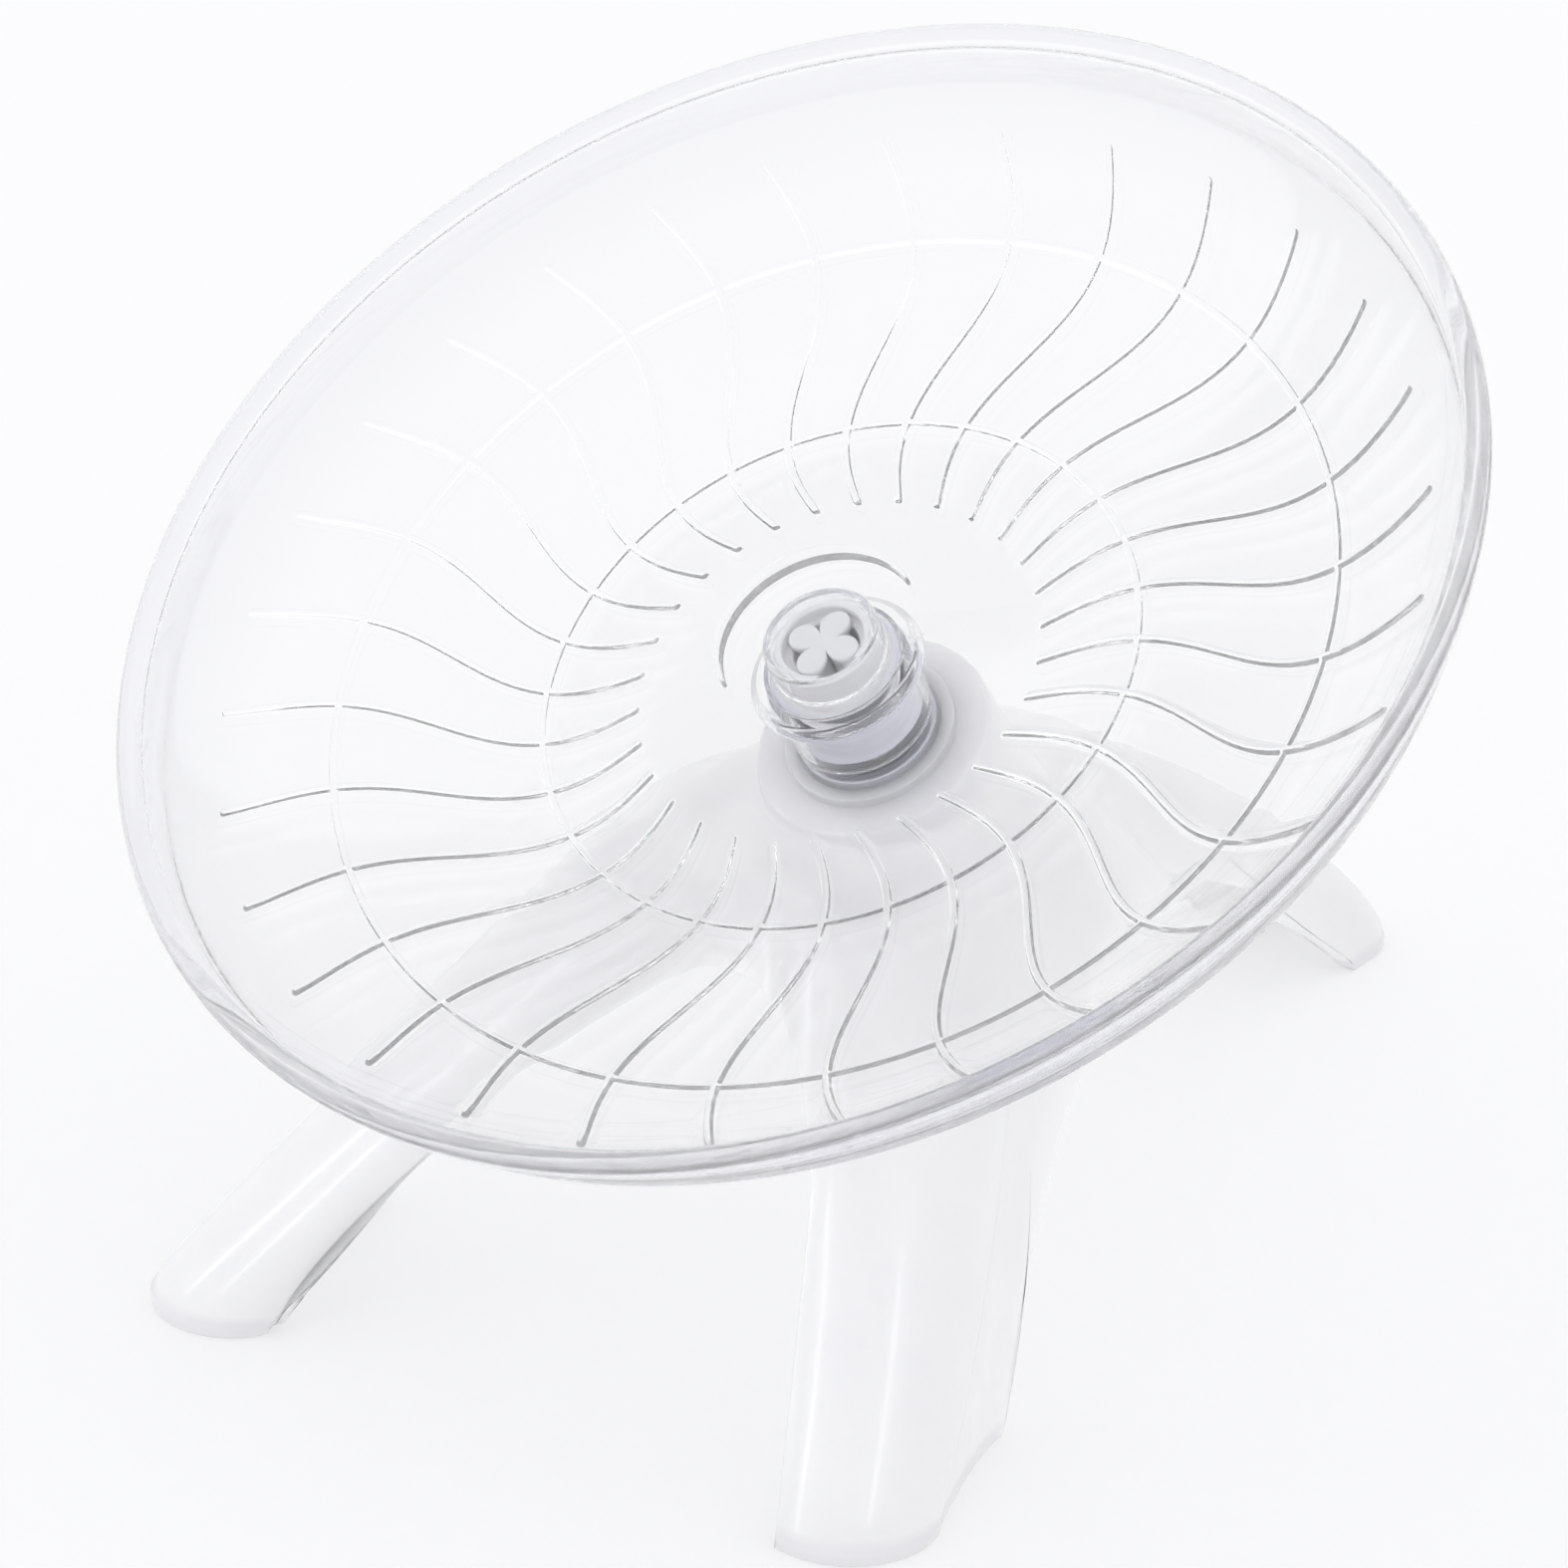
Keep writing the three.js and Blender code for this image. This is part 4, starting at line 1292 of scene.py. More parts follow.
@dataclass
class Bearing:
    """Shielded ball bearing: two rings, two shields, a crown cage and eight balls.

    Attributes:
        middle: Height of its middle, from which its other heights count.
        clearance: Gap between a ball and its groove or pocket.
        land_step: Distance from the pitch circle to each ring's land beside the groove.
        cage_half: Half the cage's radial width.
        cage_levels: Shares of the cage's height at which its rows stand.
        shield_inset: Distance of a shield from the rings' faces.
        ball_tip: Radius of the ring that closes a ball's pole, and its distance below the pole.
    """

    axis: SpinAxis
    bore: float = 4.0
    outside: float = 9.5
    width: float = 6.0
    middle: float = -41.0
    ball_count: int = 8
    ball_radius: float = 1.59
    pitch_radius: float = 6.75
    clearance: float = 0.3
    land_step: float = 1.3
    groove_rows: int = 14
    cage_half: float = 0.6
    cage_bottom: float = -2.3
    cage_top: float = 0.7
    cage_levels: tuple[float, ...] = (0.0, 0.05, 0.5, 0.95, 1.0)
    pocket_columns: int = 19
    land_columns: int = 3
    shield_thickness: float = 0.3
    shield_inset: float = 0.1
    shield_inner: float = 5.75
    shield_outer: float = 7.75
    shield_corner: float = 0.08
    corner: float = 0.3
    ball_tip: Pair = (1e-3, 1e-4)
    ball_rows: int = 22
    ball_columns: int = 40
    columns: int = 144

    def build(self) -> Pieces:
        """Builds every piece of the bearing.

        Returns:
            The pieces by the names of their nodes.
        """
        pieces = {
            "bearing_inner_ring": make_piece("inner_race", [self._race(self.bore, -1)]),
            "bearing_outer_ring": make_piece("outer_race", [self._race(self.outside, 1)]),
            "bearing_cage": make_piece("crown_cage", [self._cage()]),
            "bearing_shield_upper": make_piece("upper_shield", [self._shield(1)]),
            "bearing_shield_lower": make_piece("lower_shield", [self._shield(-1)]),
        }
        for number in range(self.ball_count):
            pieces[f"bearing_ball_{number + 1}"] = make_piece(f"ball_{number + 1}", [self._ball(number)])
        return pieces

    def dress(self, pieces: Pieces) -> None:
        """Gives the rings ground steel, the shields dark steel whose colour also paints the shade in the gap
        under the sleeve, the balls polished steel, and the cage nylon.

        Args:
            pieces: The pieces by the names of their nodes.
        """
        steel = TurnedMetal("ground_bearing_steel", (0.44, 0.45, 0.5), (0.60, 0.61, 0.66)).material()
        # Dark shield colour: partly the shields' own dark steel, partly painted shade for the gap under the
        # sleeve.
        dark_shield = TurnedMetal("dark_shield_steel", (0.09, 0.09, 0.12), (0.16, 0.16, 0.2)).material()
        polished = TurnedMetal(
            "polished_ball_steel", (0.56, 0.57, 0.6), (0.62, 0.63, 0.66), (0.04, 0.09), 0.0004
        ).material()
        nylon = SatinPlastic("cage_nylon_skin", (0.60, 0.57, 0.48), (0.67, 0.64, 0.55)).material()
        for node, piece in pieces.items():
            if node == "bearing_cage":
                finish_piece(piece, Body.BALL_SET, [node], nylon)
            elif node.startswith("bearing_ball"):
                finish_piece(piece, Body.BALL_SET, [node], polished)
            else:
                body = Body.WHEEL if node == "bearing_inner_ring" else Body.STAND
                finish_piece(piece, body, [node], dark_shield if "shield" in node else steel)

    def _place(self, local: Array) -> Array:
        """Points about the bearing's middle moved into the model's frame."""
        return self.axis.place(local + np.array([0.0, 0.0, self.middle]))

    def _race(self, plain: float, facing: int) -> Skin:
        """Ring with a plain side and a round groove, an arc of the ball's radius plus the clearance.

        Args:
            plain: Radius of the plain side.
            facing: 1 for the outer ring, -1 for the inner one.

        Returns:
            The closed skin.
        """
        half = self.width / 2
        land = self.pitch_radius + facing * self.land_step
        groove_radius = self.ball_radius + self.clearance
        reach = np.arccos(self.land_step / groove_radius)
        arc = np.linspace(-reach, reach, self.groove_rows)
        level = groove_radius * np.sin(arc)
        groove = np.stack([self.pitch_radius + facing * groove_radius * np.cos(arc), level], -1)
        below = [(plain, 0.0), (plain, -half), (land, -half), (land, level[0])]
        above = [(land, level[-1]), (land, half), (plain, half), (plain, 0.0)]
        lower, upper = (rounded(side, self.corner, closed=False) for side in (below, above))
        outline = np.concatenate([lower[:-1], groove, upper[1:-1]])
        return Skin(self._place(lathe(outline, self.columns)), closed=True)

    def _shield(self, side: int) -> Skin:
        """Thin flat ring just inside one of the bearing's faces.

        Args:
            side: 1 for the upper face, -1 for the lower one.

        Returns:
            The closed skin.
        """
        near = side * (self.width / 2 - self.shield_inset)
        far = near - side * self.shield_thickness
        corners = [
            (self.shield_inner, near), (self.shield_outer, near),
            (self.shield_outer, far), (self.shield_inner, far),
        ]
        outline = rounded(corners, self.shield_corner, steps=4)
        return Skin(self._place(lathe(outline, self.columns)), closed=True)

    def _ball(self, number: int) -> Skin:
        """Sphere on the pitch circle: (cos v cos u, cos v sin u, sin v) times the radius.

        Args:
            number: The ball's number, from 0.

        Returns:
            The closed skin.
        """
        turn = TURN * (number + 0.5) / self.ball_count
        centre = polar(self.pitch_radius, turn, 0.0)
        rise = np.linspace(-np.pi / 2, np.pi / 2, self.ball_rows)[1:-1]
        arc = np.stack([np.cos(rise), np.sin(rise)], -1) * self.ball_radius
        tip, below_pole = self.ball_tip
        pole = self.ball_radius - below_pole
        outline = np.concatenate([[[tip, -pole]], arc, [[tip, pole]]])
        return Skin(self._place(lathe(outline, self.ball_columns) + centre), closed=False)

    def _cage(self) -> Skin:
        """Crown cage: a thin band whose upper edge dips round each ball, with snap lips.

        The upper edge runs along the land at full height, then down and round the pocket's arc. The lower
        edge stays level. Rows go up the outside and down the inside.

        Returns:
            The closed skin.
        """
        pocket = self.ball_radius + self.clearance
        lip = np.arcsin(self.cage_top / pocket)
        arc = np.linspace(np.pi - lip, TURN + lip, self.pocket_columns)
        half_pitch = np.pi / self.ball_count
        mouth = pocket * np.cos(lip) / self.pitch_radius
        land = np.linspace(mouth, 2 * half_pitch - mouth, self.land_columns + 2)[1:-1]
        top_angle = np.concatenate([pocket * np.cos(arc) / self.pitch_radius, land])
        top_height = np.concatenate([pocket * np.sin(arc), np.full(len(land), self.cage_top)])
        low_angle = np.linspace(-mouth, 2 * half_pitch - mouth, len(top_angle), endpoint=False)
        turns = (np.arange(self.ball_count)[:, None] + 0.5) * 2 * half_pitch
        top, low = ((turns + angle).ravel() for angle in (top_angle, low_angle))
        height = np.tile(top_height, self.ball_count)
        outside, inside = self.pitch_radius + self.cage_half, self.pitch_radius - self.cage_half
        steps = [(outside, share) for share in self.cage_levels]
        steps += [(inside, share) for share in reversed(self.cage_levels)]
        rows = [polar(radius, lerp(low, top, up), lerp(self.cage_bottom, height, up)) for radius, up in steps]
        return Skin(self._place(np.stack(rows)), closed=True)


@dataclass
class Fasteners:
    """Screw and washer that hold the spindle in the bearing from below.

    Attributes:
        face_radius: Radius of the head's flat face.
        crown: Reach and rise of the rounded edge round that face.
        face_rows: Radii of the rows on that face.
        side_rise: Height above the face at which the head's side starts.
        neck_rise: Length of plain shank in the first row under the head.
        thread_gaps: Length before the thread's first row, and at least left after its last.
        run_in: Height at which the thread starts, and length over which it grows.
        run_out: The same from the point upwards.
        point: Length of the tapered point and of its taper.
        point_taper: Share of the radius that the taper takes away.
        recess_slope: Width of the recess's sloping walls.
    """

    axis: SpinAxis
    washer_bore: float = 1.8
    washer_radius: float = 5.0
    washer_top: float = -44.3
    washer_bottom: float = -45.3
    head_top: float = -45.6
    head_height: float = 1.8
    head_radius: float = 2.8
    thread_radius: float = 1.5
    thread_depth: float = 0.28
    thread_pitch: float = 0.9
    thread_length: float = 8.5
    recess_reach: float = 1.6
    recess_half: float = 0.36
    recess_depth: float = 0.95
    recess_slope: float = 0.12
    face_radius: float = 2.1
    face_rows: tuple[float, ...] = (0.05, 0.2, *np.arange(0.3, 1.85, 0.09), 2.0)
    side_rise: float = 1.0
    crown: Pair = (0.7, 0.9)
    corner: float = 0.2
    neck_rise: float = 0.3
    thread_gaps: Pair = (0.35, 0.05)
    rows_per_turn: int = 12
    run_in: Pair = (0.5, 0.8)
    run_out: Pair = (0.6, 1.2)
    point: Pair = (1.3, 1.2)
    point_taper: float = 0.45
    columns: int = 96

    def build(self) -> Pieces:
        """Builds screw and washer.

        Returns:
            The pieces by the names of their nodes.
        """
        corners = [
            (self.washer_bore, self.washer_bottom), (self.washer_radius, self.washer_bottom),
            (self.washer_radius, self.washer_top), (self.washer_bore, self.washer_top),
        ]
        washer = Skin(self.axis.place(lathe(rounded(corners, self.corner), self.columns)), closed=True)
        return {
            "retaining_washer": make_piece("plain_washer", [washer]),
            "retaining_screw": make_piece("pan_head_screw", [self._screw()]),
        }

    def dress(self, pieces: Pieces) -> None:
        """Gives both pieces zinc plating.

        Args:
            pieces: The pieces by the names of their nodes.
        """
        zinc = TurnedMetal("zinc_plate", (0.60, 0.61, 0.62), (0.70, 0.71, 0.72), (0.2, 0.34)).material()
        for node, piece in pieces.items():
            finish_piece(piece, Body.WHEEL, [node], zinc)

    def _recess(self, radius: Array, angle: Array) -> Array:
        """Depth of the cross recess: full inside either slot, with sloping walls.

        Args:
            radius: Distances from the screw's axis.
            angle: Directions.

        Returns:
            Depths, in the shape of both together.
        """
        x, y = np.abs(radius * np.cos(angle)), np.abs(radius * np.sin(angle))
        depth = np.zeros_like(x)
        for long, wide in ((x, y), (y, x)):
            inside = np.minimum(self.recess_reach - long, self.recess_half - wide)
            depth = np.maximum(depth, smooth_step(inside / self.recess_slope + 0.5))
        return self.recess_depth * depth

    def _screw(self) -> Skin:
        """Pan head with a cross recess, and a shank with a helical thread.

        The thread's radius is the core plus the depth times a triangle wave of height / pitch - turn / 2 pi,
        faded in below the head and out at the point.

        Returns:
            The closed skin.
        """
        angle = around(self.columns)
        bottom = self.head_top - self.head_height
        face = np.array([*self.face_rows, self.face_radius])[:, None]
        turn = np.linspace(-np.pi / 2, 0, 9)
        out, rise = self.crown
        head = np.stack([self.face_radius + out * np.cos(turn), bottom + rise + rise * np.sin(turn)], -1)[1:]
        head = np.concatenate([head, rounded([
            (self.head_radius, bottom + self.side_rise), (self.head_radius, self.head_top),
            (self.thread_radius, self.head_top), (self.thread_radius, self.head_top + self.neck_rise),
        ], self.corner, closed=False)[1:]])
        first, last = self.thread_gaps
        level = np.arange(first, self.thread_length - last, self.thread_pitch / self.rows_per_turn)[:, None]
        wave = 1 - 2 * np.abs((level / self.thread_pitch - angle / TURN) % 1 - 0.5)
        grown = smooth_step((level - self.run_in[0]) / self.run_in[1])
        left = smooth_step((self.thread_length - self.run_out[0] - level) / self.run_out[1])
        taper = smooth_step((level - self.thread_length + self.point[0]) / self.point[1])
        thread = self.thread_radius - self.thread_depth * (1 - wave * (grown * left))
        rows = [
            polar(face, angle, bottom + self._recess(face, angle)),
            polar(head[:, :1], angle, head[:, 1:]),
            polar((1 - self.point_taper * taper) * thread, angle, self.head_top + level),
        ]
        return Skin(self.axis.place(np.concatenate(rows)), closed=False)


@dataclass(frozen=True)
class Leg:
    """One leg of the stand, in radians and in millimetres from the vertical below the neck.

    Attributes:
        azimuth: Its direction.
        reach: Distance of its foot's tip.
        shoulder: Distance of its outside at the shoulder.
        bulge: Power of its outline from foot to shoulder.
        flares: Angles at which its two flanks spread.
    """

    azimuth: float
    reach: float
    shoulder: float
    bulge: float
    flares: Pair


@dataclass(frozen=True)
class Arch:
    """One arch: its direction, and the reach and power of its left and right side."""

    azimuth: float
    left: Pair
    right: Pair


@dataclass
class Stand:
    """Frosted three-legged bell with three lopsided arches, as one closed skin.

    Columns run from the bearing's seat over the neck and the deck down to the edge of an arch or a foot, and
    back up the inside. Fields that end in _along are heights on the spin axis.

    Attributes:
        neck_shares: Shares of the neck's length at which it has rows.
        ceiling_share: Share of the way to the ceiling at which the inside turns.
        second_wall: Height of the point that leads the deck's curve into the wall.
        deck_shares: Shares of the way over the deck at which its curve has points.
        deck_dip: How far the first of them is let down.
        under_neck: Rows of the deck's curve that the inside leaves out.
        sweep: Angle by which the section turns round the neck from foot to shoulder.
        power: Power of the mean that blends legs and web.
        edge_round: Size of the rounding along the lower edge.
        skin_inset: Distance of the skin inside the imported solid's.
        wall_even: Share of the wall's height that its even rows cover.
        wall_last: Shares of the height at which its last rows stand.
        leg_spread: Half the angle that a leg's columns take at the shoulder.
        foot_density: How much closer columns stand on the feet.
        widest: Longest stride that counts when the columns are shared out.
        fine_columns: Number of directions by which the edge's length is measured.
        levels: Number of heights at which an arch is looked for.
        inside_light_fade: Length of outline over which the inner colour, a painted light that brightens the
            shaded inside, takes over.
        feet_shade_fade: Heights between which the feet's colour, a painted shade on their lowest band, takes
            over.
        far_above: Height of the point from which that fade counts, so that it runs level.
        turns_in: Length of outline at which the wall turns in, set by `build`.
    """

    axis: SpinAxis
    legs: tuple[Leg, ...] = (
        Leg(np.radians(-30.3), 98, 44, 1.08, (np.radians(12), np.radians(3))),
        Leg(np.radians(34.2), 97, 44, 1.08, (np.radians(3), np.radians(12))),
        Leg(np.radians(176.6), 122, 50, 1.4, (np.radians(4), np.radians(4))),
    )
    arches: tuple[Arch, ...] = (
        Arch(np.radians(4), (40, 1.25), (33.5, 2.4)),
        Arch(np.radians(105), (56, 1.6), (97, 1.25)),
        Arch(np.radians(253), (97, 1.25), (56, 1.6)),
    )
    arch_height: float = 46.5
    arch_start: float = 14.0
    neck_along: float = -40.5
    neck_radius: float = 16.2
    neck_edge: float = 0.8
    neck_flare: float = 0.6
    neck_short: float = 1.3
    neck_long: float = 12.5
    neck_shares: Pair = (0.25, 0.6)
    collar_radius: float = 11.6
    collar_along: float = -39.0
    seat_radius: float = 9.8
    seat_hole: float = 7.0
    seat_along: float = -44.3
    ledge: float = 2.0
    ceiling_radius: float = 13.8
    ceiling_share: float = 0.8
    seat_corner: float = 0.25
    wall: float = 2.4
    shoulder_height: float = 51.0
    shoulder_rise: float = 3.2
    first_wall: float = 49.5
    second_wall: float = 45.0
    deck_inset: float = 6.0
    deck_shares: Pair = (0.2, 0.6)
    deck_dip: float = 0.6
    under_neck: int = 9
    web_foot: float = 61.0
    web_shoulder: float = 33.0
    foot_half: float = 11.0
    leg_half: float = 13.0
    sweep: float = np.radians(7)
    foot_band: float = 2.0
    power: float = 6.0
    edge_round: float = 0.55
    skin_inset: float = 0.06
    wall_rows: int = 26
    wall_even: float = 0.93
    wall_last: Pair = (0.965, 1.0)
    columns: int = 480
    leg_spread: float = np.radians(13)
    foot_density: float = 2.0
    widest: float = 5.0
    fine_columns: int = 7201
    levels: int = 240
    halvings: int = 30
    # Painted light: the inside wall is coloured paler to make up for the shade that falls inside the bell.
    inside_painted_light: Colour = (0.95, 0.95, 0.96)
    inside_light_fade: float = 1.5
    # Painted shade: the feet's lowest band is coloured greyer where it turns down to the floor.
    feet_painted_shade: Colour = (0.66, 0.655, 0.69)
    feet_shade_fade: Pair = (2.6, 1.4)
    far_above: float = 10000.0
    turns_in: float = 0.0

    def build(self) -> Piece:
        """Builds seat, outside, edge and inside as rows of one closed skin.

        Returns:
            The stand.
        """
        bottom = self._column_azimuths()
        top = self._top_azimuths(bottom)
        outer_edge = self._edge_height(bottom, 0.0)
        inner_edge = self._edge_height(bottom, self.wall)
        outside, inside_deck = self._deck(top)
        outer_wall = self._wall(bottom, top, outer_edge, 0.0)
        inner_wall = self._wall(bottom, top, inner_edge, self.wall)
        edge = self._edge(outer_wall, inner_wall)
        rows = [self._seat(top), outside, outer_wall[:-1], edge, inner_wall[::-1][1:], inside_deck]
        skin = Skin(np.concatenate(rows), closed=True)
        self.turns_in = float(skin.coordinates()[sum(map(len, rows[:3])) * self.columns, 1])
        return make_piece("bell_stand", [skin])

    def dress(self, piece: Piece) -> Piece:
        """Gives the stand its frosted plastic, with painted light that makes the shaded inside paler and
        painted shade that makes the feet's lowest band greyer.

        Args:
            piece: The stand.

        Returns:
            The same object.
        """
        # Painted light on the inside walls, which would otherwise read dark in their shade.
        inside = Fade(self.inside_painted_light, (self.turns_in, self.turns_in + self.inside_light_fade))
        # Painted shade on the feet's lowest band, level at a fixed height above the floor.
        upper, lower = self.feet_shade_fade
        feet = Fade(
            self.feet_painted_shade, (self.far_above - upper, self.far_above - lower), (0.0, 0.0, self.far_above)
        )
        finish = FrostedPlastic("frosted_stand_plastic", fades=(inside, feet))
        return finish_piece(piece, Body.STAND, ["stand"], finish.material())

    @property
    def neck_place(self) -> Array:
        """Foot of the vertical below the neck's upper edge."""
        place = self.axis.place(np.array([0.0, 0.0, self.neck_along]))
        return np.array([place[0], place[1], 0.0])

    def _rise(self, height: Array) -> Array:
        """Share of the way from the foot band to the shoulder."""
        return np.maximum(0, height - self.foot_band) / (self.shoulder_height - self.foot_band)

    def _leg_radius(self, leg: Leg, azimuth: Array, height: Array) -> Array:
        """Polar radius of one leg's section: straight flared flanks that close on a round nose.

        Args:
            leg: The leg.
            azimuth: Directions before the legs' sweep.
            height: Heights above the floor.

        Returns:
            Radii, 0 behind the leg.
        """
        rise = np.maximum(self._rise(height), 0)
        half = lerp(self.foot_half, self.leg_half, rise)
        centre = lerp(leg.reach, leg.shoulder, rise**leg.bulge) - half
        signed = wrapped(azimuth - leg.azimuth)
        angle = np.abs(signed)
        off_line = centre * np.sin(angle)
        nose = centre * np.cos(angle) + np.sqrt(np.maximum(half**2 - off_line**2, 0))
        slope = np.tan(np.where(signed < 0, leg.flares[0], leg.flares[1]))
        flank = (half + centre * slope) / (np.sin(angle) + np.cos(angle) * slope + 1e-9)
        radius = np.where(angle < np.arctan2(half, centre), nose, flank)
        return np.where(angle > np.pi / 2, 0.0, radius)

    def _section(self, azimuth: Array, height: Array) -> Array:
        """Polar radius of the whole section: the power mean of the legs and the round web.

        Args:
            azimuth: Directions before the legs' sweep.
            height: Heights above the floor.

        Returns:
            Radii, in the shape of both together.
        """
        fall = (np.maximum(0, height) / self.shoulder_height) ** 2
        total = (self.web_foot - (self.web_foot - self.web_shoulder) * fall) ** self.power
        for leg in self.legs:
            total = total + self._leg_radius(leg, azimuth, height) ** self.power
        return total ** (1 / self.power) - self.skin_inset

    def _bell(self, azimuth: Array, height: Array) -> Array:
        """Point of the bell's outer wall in a true direction. The section turns as it rises."""
        before = azimuth - self.sweep * np.minimum(1, self._rise(height))
        return self._at(azimuth, self._section(before, height), height)

    def _at(self, azimuth: Array, radius: Array, height: Array) -> Array:
        """Point at a direction and distance from the vertical below the neck."""
        return self.neck_place + from_low_side(azimuth, radius, height)

    def _shell(self, azimuth: Array, height: Array, depth: float) -> Array:
        """Point of the wall at a depth under its outside, along the normal that neighbouring points give.

        Args:
            azimuth: True directions.
            height: Heights above the floor.
            depth: Depth under the outside.

        Returns:
            Points, shape (..., 3), none below the floor.
        """
        point = self._bell(azimuth, height)
        if depth == 0.0:
            return point
        turn, lift = 1e-3, 0.05
        along = self._bell(azimuth + turn, height) - self._bell(azimuth - turn, height)
        up = self._bell(azimuth, height + lift) - self._bell(azimuth, np.maximum(height - lift, 0.0))
        normal = np.cross(along, up)
        normal /= lengths(normal)
        inner = point - depth * normal
        inner[..., 2] = np.maximum(inner[..., 2], 0.0)
        return inner

    def _in_arch(self, point: Array) -> Array:
        """How far a point is inside an arch: 1 - (|u| / reach)^power - (z / height)^power.

        Args:
            point: Points, shape (..., 3).

        Returns:
            The largest value of all arches, at least -1.
        """
        local = point - self.neck_place
        best = np.full(point.shape[:-1], -1.0)
        for arch in self.arches:
            ahead = local[..., 0] * np.sin(arch.azimuth) - local[..., 1] * np.cos(arch.azimuth)
            side = local[..., 0] * np.cos(arch.azimuth) + local[..., 1] * np.sin(arch.azimuth)
            reach = np.where(side < 0, arch.left[0], arch.right[0])
            power = np.where(side < 0, arch.left[1], arch.right[1])
            inside = 1 - (np.abs(side) / reach) ** power - (np.abs(local[..., 2]) / self.arch_height) ** power
            best = np.maximum(best, np.where(ahead > self.arch_start, inside, -1.0))
        return best

    def _edge_height(self, azimuth: Array, depth: float) -> Array:
        """Height at which the wall meets an arch in each direction, or 0 on the feet.

        Of many levels, the highest that still lies in an arch is found, and halvings close in on the
        crossing above it.

        Args:
            azimuth: True directions, shape (columns,).
            depth: Depth under the wall's outside.

        Returns:
            Heights, shape (columns,).
        """
        levels = np.linspace(0.0, self.first_wall - 1.0, self.levels)[:, None]
        inside = self._in_arch(self._shell(azimuth[None, :], levels, depth)) > 0
        highest = len(levels) - 1 - np.argmax(inside[::-1], axis=0)
        low = np.where(inside.any(axis=0), levels[highest, 0], 0.0)
        high = low + levels[1, 0]
        for _ in range(self.halvings):
            middle = (low + high) / 2
            within = self._in_arch(self._shell(azimuth, middle, depth)) > 0
            low, high = np.where(within, middle, low), np.where(within, high, middle)
        return np.where(inside.any(axis=0), low, 0.0)

    def _column_azimuths(self) -> Array:
        """Directions of the columns' lower ends, shared out by the length of the edge, closer on the feet.

        Returns:
            Directions from the first leg's on, shape (columns,).
        """
        fine = np.linspace(0, TURN, self.fine_columns) + self.legs[0].azimuth
        height = self._edge_height(fine, 0.0)
        path = self._bell(fine, height)
        stride = np.linalg.norm(np.diff(path, axis=0), axis=1)
        on_foot = (height[1:] <= 0) & (height[:-1] <= 0)
        stride = np.minimum(stride, self.widest) * np.where(on_foot, self.foot_density, 1.0)
        length = np.concatenate([[0.0], np.cumsum(stride)])
        return np.interp(np.linspace(0, length[-1], self.columns, endpoint=False), length, fine)

    def _top_azimuths(self, bottom: Array) -> Array:
        """Directions of the columns at the shoulder: turned with the legs on the feet, the same in between.

        Args:
            bottom: Directions of the lower ends.

        Returns:
            Directions at the shoulder, in the same order.
        """
        knots, values = [], []
        for leg in self.legs:
            edge = np.arctan2(self.foot_half, leg.reach - self.foot_half)
            for side in (-1, 1):
                knots.append(leg.azimuth + side * edge)
                values.append(leg.azimuth + self.sweep + side * self.leg_spread)
        for arch in self.arches:
            knots.append(arch.azimuth + self.sweep / 2)
            values.append(arch.azimuth + self.sweep / 2)
        order = np.argsort(knots)
        knots, values = (np.array(row)[order] for row in (knots, values))
        knots, values = (np.concatenate([row - TURN, row, row + TURN]) for row in (knots, values))
        return np.interp(bottom, knots, values)

    def _wall(self, bottom: Array, top: Array, edge: Array, depth: float) -> Array:
        """Wall from its first level below the shoulder down to the edge.

        The direction runs from the top azimuth to the bottom one in step with the rise.

        Args:
            bottom: Directions at the edge.
            top: Directions at the shoulder.
            edge: Heights of the edge.
            depth: Depth under the outside.

        Returns:
            Points, shape (rows, columns, 3).
        """
        share = np.concatenate([np.linspace(0, self.wall_even, self.wall_rows), self.wall_last])[:, None]
        height = lerp(self.first_wall, edge[None, :], share)
        start = self._rise(edge)
        along = (self._rise(height) - start) / (1 - start)
        azimuth = lerp(bottom, top, along)
        return self._shell(azimuth, height, depth)

    def _edge(self, outer_wall: Array, inner_wall: Array) -> Array:
        """Rounded lower edge between the outer and the inner wall's last rows.

        Args:
            outer_wall: Rows of the outer wall, the lowest last.
            inner_wall: Rows of the inner wall, the lowest last.

        Returns:
            Points, shape (rows, columns, 3).
        """
        outer, inner = outer_wall[-1], inner_wall[-1]
        across = (inner - outer) * self.edge_round / lengths(inner - outer)
        first = corner_curve(outer + self._up_from(outer_wall), outer, outer + across, 7)
        second = corner_curve(inner - across, inner, inner + self._up_from(inner_wall), 7)
        middle = [(outer + inner) / 2]
        return np.concatenate([first, middle, second])

    def _up_from(self, wall: Array) -> Array:
        """Step up a wall from its lower edge, square to it, of the rounding's size or half a row's distance.

        Args:
            wall: Rows of the wall, the lowest last.

        Returns:
            Vectors, shape (columns, 3).
        """
        along = np.roll(wall[-1], -1, axis=0) - np.roll(wall[-1], 1, axis=0)
        along /= lengths(along)
        up = wall[-2] - wall[-1]
        up -= np.sum(up * along, axis=-1, keepdims=True) * along
        return up * np.minimum(self.edge_round / lengths(up), 0.5)

